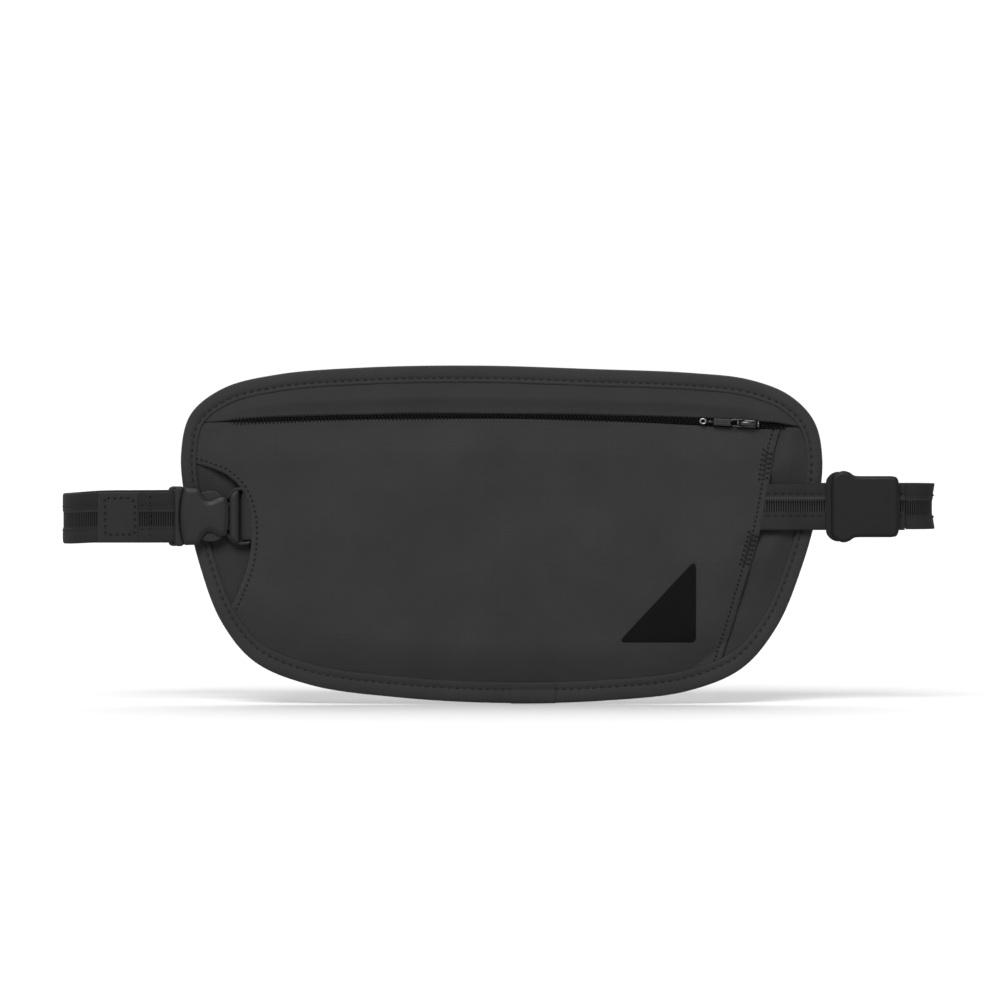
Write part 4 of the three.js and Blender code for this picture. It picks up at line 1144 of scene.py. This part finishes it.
def add_pull():
    pivot, depth, shoulder = -1.7, 7.35, -7.5
    upper = [(pivot, 1.3), (pivot - 0.5, 1.5), (-4.4, 1.45), (shoulder + 0.3, 1.1)]
    lower = [(x, -z) for x, z in upper]
    ring = smooth_line([*lower, (shoulder - 0.3, 0), *upper[::-1], (pivot + 0.3, 0)], closed=True)
    ring = resample(ring, 90, closed=True)
    bar = tube("pull_ring", at_depth(ring, depth), 0.36, MATERIALS["metal"], sides=10, closed=True)
    on_slider(bar, "pull", "dark_metal", "zip_pull")

    left, right, half = -15.2, -7.5, 1.6
    outline = rectangle(left, right, half, 0.5, 5)
    profile = [(0.0, 7.9), (0.12, 8.15), (0.4, 8.35), (3.0, 8.4)]
    grip = moulded("pull_grip", outline, ((left + right) / 2, 0), 6.35, profile, MATERIALS["grip"], spread=14)
    on_slider(grip, "pull", "grip", "zip_pull_grip")
    for k, z in enumerate((-0.85, 0.0, 0.85)):
        line = [(left + 0.8, -8.38, z), ((left + right) / 2, -8.44, z), (right - 0.8, -8.38, z)]
        rib = tube(f"pull_grip_rib_{k}", line, 0.17, MATERIALS["grip"])
        on_slider(rib, "pull", "grip")

    tip, reach = -21.4, 1.6
    turn = np.linspace(0, 2 * math.pi, 48, endpoint=False)
    eye = np.column_stack([tip + reach * (1 + 1.05 * np.cos(turn)), 1.4 * np.sin(turn)])
    hole = np.column_stack([tip + reach * 0.95 + 0.85 * np.cos(turn), 0.72 * np.sin(turn)])
    # The eye uses the lighter metal, a painted highlight.
    eyelet = plate("pull_eye", eye, (6.9, 7.8), MATERIALS["painted_highlight"], bevel=0.25, holes=[hole])
    on_slider(eyelet, "pull", "dark_metal")
    neck = tube("pull_neck", [(tip + 2.9, -7.35, 0), (left + 0.4, -7.35, 0)], 0.7, MATERIALS["metal"], sides=12)
    on_slider(neck, "pull", "dark_metal")


# ---------------------------------------------------------------- the buckle


def symmetric(upper):
    """A closed outline from its upper half about the buckle's centre line."""
    upper = np.asarray(upper, float)
    lower = upper[::-1] * [1, -1]
    return np.vstack([upper, lower]) + [0, BUCKLE_Z]


def carve(obj, cutters):
    """Cuts solids out of a piece, then removes them."""
    for cutter in cutters:
        modifier = obj.modifiers.new("cut", "BOOLEAN")
        modifier.operation = "DIFFERENCE"
        modifier.solver = "EXACT"
        modifier.object = cutter
    bpy.context.view_layer.update()
    graph = bpy.context.evaluated_depsgraph_get()
    mesh = bpy.data.meshes.new_from_object(obj.evaluated_get(graph))
    obj.modifiers.clear()
    obj.data = mesh
    for cutter in cutters:
        bpy.data.objects.remove(cutter)
    soften(obj, 40)


def box_piece(xs, zs, depths, material):
    corners = [(x, -d, z) for x in xs for d in depths for z in zs]
    faces = [(0, 1, 3, 2), (4, 6, 7, 5), (0, 4, 5, 1), (2, 3, 7, 6), (0, 2, 6, 4), (1, 5, 7, 3)]
    obj = piece("cutter", corners, faces, material, smooth=False)
    fix_normals(obj)
    return obj


def add_socket():
    plastic = MATERIALS["plastic"]
    left = smooth_line([(-142.8, 0.3), (-142.5, 5.0), (-141.8, 9.6), (-141.0, 12.5)], per=10)
    shoulder = [(-140.4, 12.85), (-137.0, 12.75), (-134.6, 12.5)]
    waist = smooth_line([(-133.9, 11.9), (-133.2, 10.3), (-132.2, 8.5), (-130.8, 7.2), (-129.3, 6.9),
                         (-127.6, 7.6), (-125.6, 8.6), (-123.4, 8.9)], per=8)
    mouth = smooth_line([(-122.1, 8.5), (-121.5, 6.0), (-121.1, 3.0), (-121.0, 0.3)], per=8)
    outline = densify(symmetric(np.vstack([left, shoulder, waist, mouth])), 0.7)
    profile = [(0.0, 10.1), (0.1, 10.45), (0.35, 10.72), (1.0, 11.0), (1.6, 11.25), (2.1, 11.36), (3.5, 11.4),
               (12, 11.48)]
    body = moulded("socket_body", outline, (-131.6, BUCKLE_Z), 4.3, profile, plastic, spread=44)
    carve(body, [box_piece(xs, (BUCKLE_Z - half, BUCKLE_Z + half), (5.9, 9.7), plastic)
                 for xs, half in (((-139.2, -123.9), 11.6), ((-124.0, -118.0), 6.9))])
    finish_piece(body, "socket", "buckle_plastic", "buckle_socket")

    ring = rounded([(-148.1, -13.4), (-140.4, -13.1), (-140.4, 13.1), (-148.1, 13.4)], 2.6, 8) + [0, BUCKLE_Z]
    slot = rectangle(-145.4, -142.9, 12.0, 0.5, 4) + [0, BUCKLE_Z]
    frame_ring = plate("socket_bar", ring, (6.2, 9.0), plastic, bevel=0.7, holes=[slot], segments=4)
    finish_piece(frame_ring, "socket", "buckle_plastic")

    edge = [(-143.25, 0.2), (-142.95, 5.0), (-142.2, 9.7), (-141.4, 12.7), (-141.9, 13.15), (-144.2, 13.2),
            (-144.95, 12.6), (-145.05, 6.0), (-145.05, 0.2)]
    lip = densify(symmetric(smooth_line(edge, per=8)), 0.6)
    lip_profile = [(0.0, 10.55), (0.15, 10.8), (0.5, 11.0), (1.2, 11.1)]
    end = moulded("socket_lip", lip, (-144.0, BUCKLE_Z), 10.2, lip_profile, plastic, spread=14)
    finish_piece(end, "socket", "buckle_plastic")


def add_plug():
    plastic = MATERIALS["plastic"]
    upper = smooth_line([(-120.8, 0.3), (-120.85, 6.0), (-120.5, 9.3), (-119.2, 10.8), (-117.8, 11.7),
                         (-116.9, 11.8), (-116.7, 6.0), (-116.7, 0.3)], per=8)
    profile = [(0.0, 9.9), (0.15, 10.25), (0.5, 10.5), (1.1, 10.75), (1.9, 10.85)]
    outline = densify(symmetric(upper), 0.7)
    body = moulded("plug_base", outline, (-118.7, BUCKLE_Z), 4.9, profile, plastic, spread=20)
    finish_piece(body, "pouch", "buckle_plastic", "buckle_plug")
    rail = smooth_line([(-122.6, 7.6), (-121.6, 9.4), (-119.9, 11.5), (-118.4, 12.5), (-116.8, 12.8),
                        (-114.4, 12.8), (-112.2, 12.5), (-111.3, 11.7), (-111.7, 11.0), (-113.4, 11.3),
                        (-116.8, 11.4), (-118.3, 10.9), (-120.0, 9.4), (-121.4, 7.6)], closed=True, per=6)
    for name, side in (("upper", 1), ("lower", -1)):
        obj = plate(f"plug_rail_{name}", rail * [1, side] + [0, BUCKLE_Z], (5.2, 8.6), plastic, bevel=0.45)
        finish_piece(obj, "pouch", "buckle_plastic")
        add_arm(name, side)
    ends = [(-112.6, -6.4, BUCKLE_Z - 11.4), (-112.6, -6.4, BUCKLE_Z + 11.4)]
    bar = tube("plug_bar", ends, 0.72, plastic, sides=14)
    finish_piece(bar, "pouch", "buckle_plastic")
    tongue = rounded([(-137.2, -1.6), (-119.6, -2.2), (-119.6, 2.2), (-137.2, 1.6)], 0.9, 6) + [0, BUCKLE_Z]
    middle = plate("plug_tongue", tongue, (6.5, 9.1), plastic, bevel=0.4)
    finish_piece(middle, "pouch", "buckle_plastic")


def add_arm(name, side):
    """A sprung arm: a stem from the plug, a hooked tip and a domed pad that the fingers press."""
    line = [(-119.3, 3.6), (-122.5, 4.0), (-127.5, 4.4), (-133.0, 5.0), (-136.8, 6.0), (-137.5, 7.2),
            (-136.0, 9.0), (-133.6, 10.5), (-131.3, 11.2), (-129.0, 11.4), (-126.2, 11.0), (-124.0, 9.4),
            (-123.2, 7.6), (-122.7, 6.2), (-120.6, 6.1), (-119.3, 6.0)]
    outline = smooth_line(line, closed=True, per=6) * [1, side] + [0, BUCKLE_Z]
    arm = plate(f"arm_{name}", outline, (6.3, 9.3), MATERIALS["plastic"], bevel=0.6, segments=4)
    finish_piece(arm, f"arm_{name}", "buckle_plastic", f"release_arm_{name}")


def add_plug_webbing():
    """The short loop of webbing that holds the plug, wrapped round its bar and sewn inside the pouch."""
    turns = np.linspace(-math.pi / 2, math.pi / 2, 14)
    turn = [(-113.5 - 1.75 * math.cos(a), 6.4 + 1.35 * math.sin(a)) for a in turns]
    path = [(-92, 5.05), (-106, 5.05), *turn, (-106, 7.75), (-92, 7.75)]
    loop = strap("plug_loop", level_path(path, BUCKLE_Z, 10.6), 0.9, MATERIALS["loop"], PLAIN)
    finish_piece(loop, "pouch", "webbing", "plug_webbing")


# ---------------------------------------------------------------- the strap

LEFT_STRAP, RIGHT_STRAP = (11.2, 7.7), (10.15, 12.6)
LEAD_DEPTH, RETURN_DEPTH, TAIL_DEPTH = 7.6, 6.05, 6.9
LEFT_BEND, RIGHT_BEND = (-166.2, 29.6), (179.4, 12.6)
RING, RING_DEPTH, TAB_END = 96.0, 6.2, 82.0
REAR = [(120, 34), (60, 49), (0, 56), (-60, 59), (-120, 57.5)]


# The grooves that hold each face's two rows of stitches, as shares of the half width.
WOVEN_ROWS, RIDGED_ROWS = (0.47, -0.475), (0.556, -0.4)


def level_path(points, z, half):
    """A strap's path through (x, depth) points, at one height and with one half width."""
    return [(x, -depth, z, half) for x, depth in points]


def strap_at(x, y):
    """The strap's height and half-width ease from the buckle's side to the adjuster's side."""
    share = smoothstep((x - LEFT_BEND[0]) / (RIGHT_BEND[0] - LEFT_BEND[0]))
    half = LEFT_STRAP[0] + (RIGHT_STRAP[0] - LEFT_STRAP[0]) * share
    droop = 0.9 * math.exp(-((x + 196) / 11) ** 2)
    z = LEFT_STRAP[1] + (RIGHT_STRAP[1] - LEFT_STRAP[1]) * share - droop
    return (x, y, float(z), float(half))


# A strap's face as (across, out): shares of its half width and of its thickness, from its top edge down.
EDGE = [(1.0, 0.0), (0.985, 0.3), (0.93, 0.5)]
FOOT = [(-across, out) for across, out in EDGE[::-1]]
PLAIN = [*EDGE, (0.8, 0.5), (0.0, 0.5), (-0.8, 0.5), *FOOT]
WOVEN = [*EDGE, (0.8, 0.6), (0.62, 0.62), (0.52, 0.58), (0.47, 0.4), (0.42, 0.58), (0.34, 0.6), (0.28, 0.52),
         (0.235, 0.3), (0.0, 0.28), (-0.3, 0.28), (-0.36, 0.3), (-0.4, 0.52), (-0.435, 0.58), (-0.475, 0.4),
         (-0.53, 0.58), (-0.62, 0.62), (-0.8, 0.6), *FOOT]
RIDGED = [*EDGE, (0.8, 0.62), (0.66, 0.6), (0.6, 0.55), (0.556, 0.36), (0.51, 0.55), (0.46, 0.74), (0.38, 0.8),
          (0.31, 0.7), (0.285, 0.18), (0.04, 0.14), (-0.19, 0.18), (-0.215, 0.5), (-0.3, 0.58), (-0.36, 0.55),
          (-0.4, 0.36), (-0.445, 0.55), (-0.55, 0.62), (-0.8, 0.62), *FOOT]


def strap(name, path, thick, material, face=WOVEN, spacing=1.0, flare=None):
    """A strap standing on edge along a path of (x, y, z, half width).

    face is its section, and flare maps x to how far its edges curl out.
    """
    path = np.array(path, float)
    along = distances_along(path[:, :2])
    count = max(8, int(along[-1] / spacing))
    fine = np.linspace(0, along[-1], count)
    line = at_distances(fine, along, path)
    for _ in range(2):
        line[1:-1] = (line[:-2] + 2 * line[1:-1] + line[2:]) / 4
    out = normals_2d(line[:, :2])
    section = np.array(face + [(a, -b) for a, b in face[-2:0:-1]])
    rings, uv = [], []
    for k, (x, y, z, half) in enumerate(line):
        across, lift = section[:, 0] * half, section[:, 1] * thick
        if flare:
            lift = lift + flare(x) * (np.abs(section[:, 0]) ** 3 - 0.4)
        rings.append(np.column_stack([x + out[k, 0] * lift, y + out[k, 1] * lift, z + across]))
        uv.append(np.column_stack([np.full(len(section), fine[k]), across]))
    web = sweep(name, rings, material, uv=uv)
    return web


def strap_stitches(name, path, body, rows, side=1):
    """Rows of stitching down one face of a strap, its outer one or with side=-1 its inner one.

    rows are shares of the strap's half width.
    """
    path = np.array(path, float)
    line = resample(path, max(8, int(length_of(path[:, :2]))))
    out = normals_2d(line[:, :2])
    normal = np.column_stack([out * side, np.zeros(len(out))])
    for number, row in enumerate(rows):
        points = np.column_stack([line[:, :2] + out * (side * 0.4), line[:, 2] + row * line[:, 3]])
        row_name = f"{name}_{'front' if side > 0 else 'back'}_{number}"
        sew(row_name, points, normal, body, 3.3, radius=0.26, share=0.5)


def arc(centre, radius, start, end, steps, outward=0.0, mirror=1):
    """Points of a bend between two angles in degrees, measured from the front of the belt."""
    return [strap_at(centre[0] + mirror * math.sin(math.radians(a)) * (radius + outward),
                     centre[1] - math.cos(math.radians(a)) * (radius + outward))
            for a in np.linspace(start, end, steps + 1)]


def add_straps():
    webbing = MATERIALS["webbing"]
    left_centre = (LEFT_BEND[0], -TAIL_DEPTH + LEFT_BEND[1])
    right_centre = (RIGHT_BEND[0], -LEAD_DEPTH + RIGHT_BEND[1])

    bar = [(-147.5, 9.75), (-145.8, 9.7), (-144.75, 9.3), (-144.15, 8.4), (-144.15, 6.8), (-144.7, 5.8),
           (-146.4, 5.4), (-149.5, 5.5), (-154, 6.3), (-159, TAIL_DEPTH), (LEFT_BEND[0], TAIL_DEPTH)]
    front = [(-161.4, 8.25), (-158, 8.35), (-153, 9.0)]
    around = [strap_at(x, -d) for x, d in front + bar]
    tail_path = around + arc(left_centre, LEFT_BEND[1], 0, 10.1, 4, mirror=-1)[1:]
    tail = strap("strap_tail_web", tail_path, 1.0, webbing, spacing=0.7)
    finish_piece(tail, "socket", "webbing", "strap_tail")

    tab_path = arc(left_centre, LEFT_BEND[1], 24.6, 0, 16, outward=1.3, mirror=-1) + [strap_at(-161.3, -8.2)]
    tab = strap("strap_tab", tab_path, 1.05, MATERIALS["loop_face"], PLAIN, spacing=0.7)
    finish_piece(tab, "socket", "webbing")
    add_box_stitch()
    strap_stitches("tail_stitches", around[:5], "socket", WOVEN_ROWS)
    cross_stitch(-156.0, 8.6)

    rear = [strap_at(x, y) for x, y in smooth_line(REAR, per=20)]
    left = arc(left_centre, LEFT_BEND[1], 10.1, 180, 60, mirror=-1)
    right = arc(right_centre, RIGHT_BEND[1], 180, 0, 40)
    loop = left + rear[::-1] + right

    def curl(x):
        return -1.2 * math.exp(-((x - 191) / 9) ** 2)

    web = strap("strap_loop_web", loop, 1.0, webbing, spacing=0.9, flare=curl)
    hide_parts("strap_bend_left", "strap_rear", "strap_bend_right")
    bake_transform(web)
    strap_stitches("loop_stitches", loop[8:-14], None, WOVEN_ROWS, side=-1)

    lead = [(x, LEAD_DEPTH) for x in (RIGHT_BEND[0] - 0.3, 150, 118, 100)]
    lead_path = level_path(lead, RIGHT_STRAP[1] - 0.2, RIGHT_STRAP[0] + 0.15)
    lead_web = strap("strap_lead_web", lead_path, 0.95, MATERIALS["lead"], RIDGED)
    finish_piece(lead_web, "pouch", "webbing", "strap_lead")
    return_path = level_path([(x, RETURN_DEPTH) for x in (100, 118, 140, 158)], RIGHT_STRAP[1], RIGHT_STRAP[0])
    finish_piece(strap("strap_return_web", return_path, 0.95, webbing), "pouch", "webbing")
    turn = np.radians(np.linspace(90, -90, 13))
    reach = 1.6
    round_ring = [(RING + reach * math.cos(a), RING_DEPTH + reach * math.sin(a)) for a in turn]
    tab = [(TAB_END, RING_DEPTH + reach), *round_ring, (TAB_END, RING_DEPTH - reach)]
    anchor = strap("anchor_loop", level_path(tab, RIGHT_STRAP[1], 9.6), 0.8, MATERIALS["loop"], PLAIN,
                   spacing=0.6)
    finish_piece(anchor, "pouch", "webbing", "anchor_tab")
    strap_stitches("lead_stitches", lead_path[::-1], "pouch", RIDGED_ROWS)


def tab_depth(x):
    """The depth of the tab's face, which starts to follow the strap's bend beyond the bend's centre."""
    over = max(0.0, LEFT_BEND[0] - x)
    radius = LEFT_BEND[1] + 1.3 + 0.5
    return TAIL_DEPTH + 1.8 - (radius - math.sqrt(radius ** 2 - over ** 2))


def add_box_stitch():
    """The square of heavier stitches that holds the strap's folded end."""
    corners = [(-176.2, 16.2), (-165.0, 16.5), (-162.9, 14.4), (-163.0, 0.3), (-175.9, 0.1)]
    loop = densify(np.array(corners), 0.5)
    loop = np.vstack([loop, loop[:1]])
    line = np.array([(x, -tab_depth(x) + 0.05, z) for x, z in loop])
    sew("box_stitch", line, facing(line), "socket", 2.9, radius=0.38, share=0.55)


def cross_stitch(x, depth):
    """A row of stitches straight across the tail, beside the buckle."""
    heights = np.linspace(LEFT_STRAP[1] + 10.8, LEFT_STRAP[1] - 10.8, 60)
    line = np.column_stack([np.full(60, x), np.full(60, -depth - 0.5), heights])
    sew("cross_stitch", line, facing(line), "socket", 2.8, radius=0.32, share=0.5)


# ---------------------------------------------------------------- the adjuster


def adjuster_outline(left, right, half, ear):
    """The adjuster's outline: two ears at its left end and rounded corners at its right."""
    upper = [(left, half - 3.0), (left + 0.5, half - 0.6), (left + 2.6, ear - 0.9), (left + 5.2, ear),
             (left + 7.6, ear - 0.5), (left + 10.2, half + 0.25), (left + 12.4, half)]
    upper = smooth_line(upper, per=8)
    corner = [(right - 3.6, half), (right - 1.2, half - 0.5), (right - 0.2, half - 2.2), (right, half - 4.2)]
    corner = smooth_line(corner, per=8)
    top = np.vstack([upper, corner])
    loop = np.vstack([top, top[::-1] * [1, -1]])
    return densify(loop + [0, RIGHT_STRAP[1]], 1.0)


def add_adjuster():
    plastic = MATERIALS["cover"]
    outline = adjuster_outline(146.4, 176.3, 13.6, 15.9)
    profile = [(0.0, 12.1), (0.1, 12.5), (0.35, 12.85), (0.9, 13.15), (1.25, 13.3), (1.5, 13.34), (15, 13.4)]
    cover = moulded("adjuster_lid", outline, (161.5, RIGHT_STRAP[1]), 10.6, profile, plastic, spread=48)
    hollow = box_piece((153.2, 168.2), (RIGHT_STRAP[1] - 10.9, RIGHT_STRAP[1] + 10.9), (9.6, 11.9), plastic)
    carve(cover, [hollow])
    finish_piece(cover, "adjuster", "buckle_plastic", "adjuster_cover")

    grille = adjuster_outline(143.9, 176.0, 12.9, 15.5)
    slots = [rectangle(left, right, 10.9, 0.6, 4) + [0, RIGHT_STRAP[1]]
             for left, right in ((148.4, 159.2), (162.8, 172.6))]
    frame_piece = plate("adjuster_grille", grille, (8.5, 10.5), plastic, bevel=0.4, holes=slots)
    finish_piece(frame_piece, "adjuster", "buckle_plastic", "adjuster_frame")
    hump_path = level_path([(x, 11.1) for x in (154.3, 158, 163, 167)], RIGHT_STRAP[1], 10.1)
    hump = strap("hump_web", hump_path, 0.9, MATERIALS["webbing"])
    finish_piece(hump, "adjuster", "webbing", "strap_over_bar")


# ---------------------------------------------------------------- what is kept from the CAD model


def dress_cad():
    """The hidden ring keeps its CAD shape and gets a finished material."""
    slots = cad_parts["anchor_ring"].data.materials
    slots.clear()
    slots.append(MATERIALS["plastic"])


make_camera()
make_studio()
add_front_panel()
add_yoke()
add_side_panel()
add_garage_panel()
add_back_panel()
add_liner()
add_binding()
add_panel_stitches()
add_bartack("bartack_thread_upper", "bartack_upper", 37, 23.5)
add_bartack("bartack_thread_lower", "bartack_lower", 0.5, -14.5)
add_label()
add_zip()
add_slider()
add_socket()
add_plug()
add_plug_webbing()
add_straps()
add_adjuster()
dress_cad()
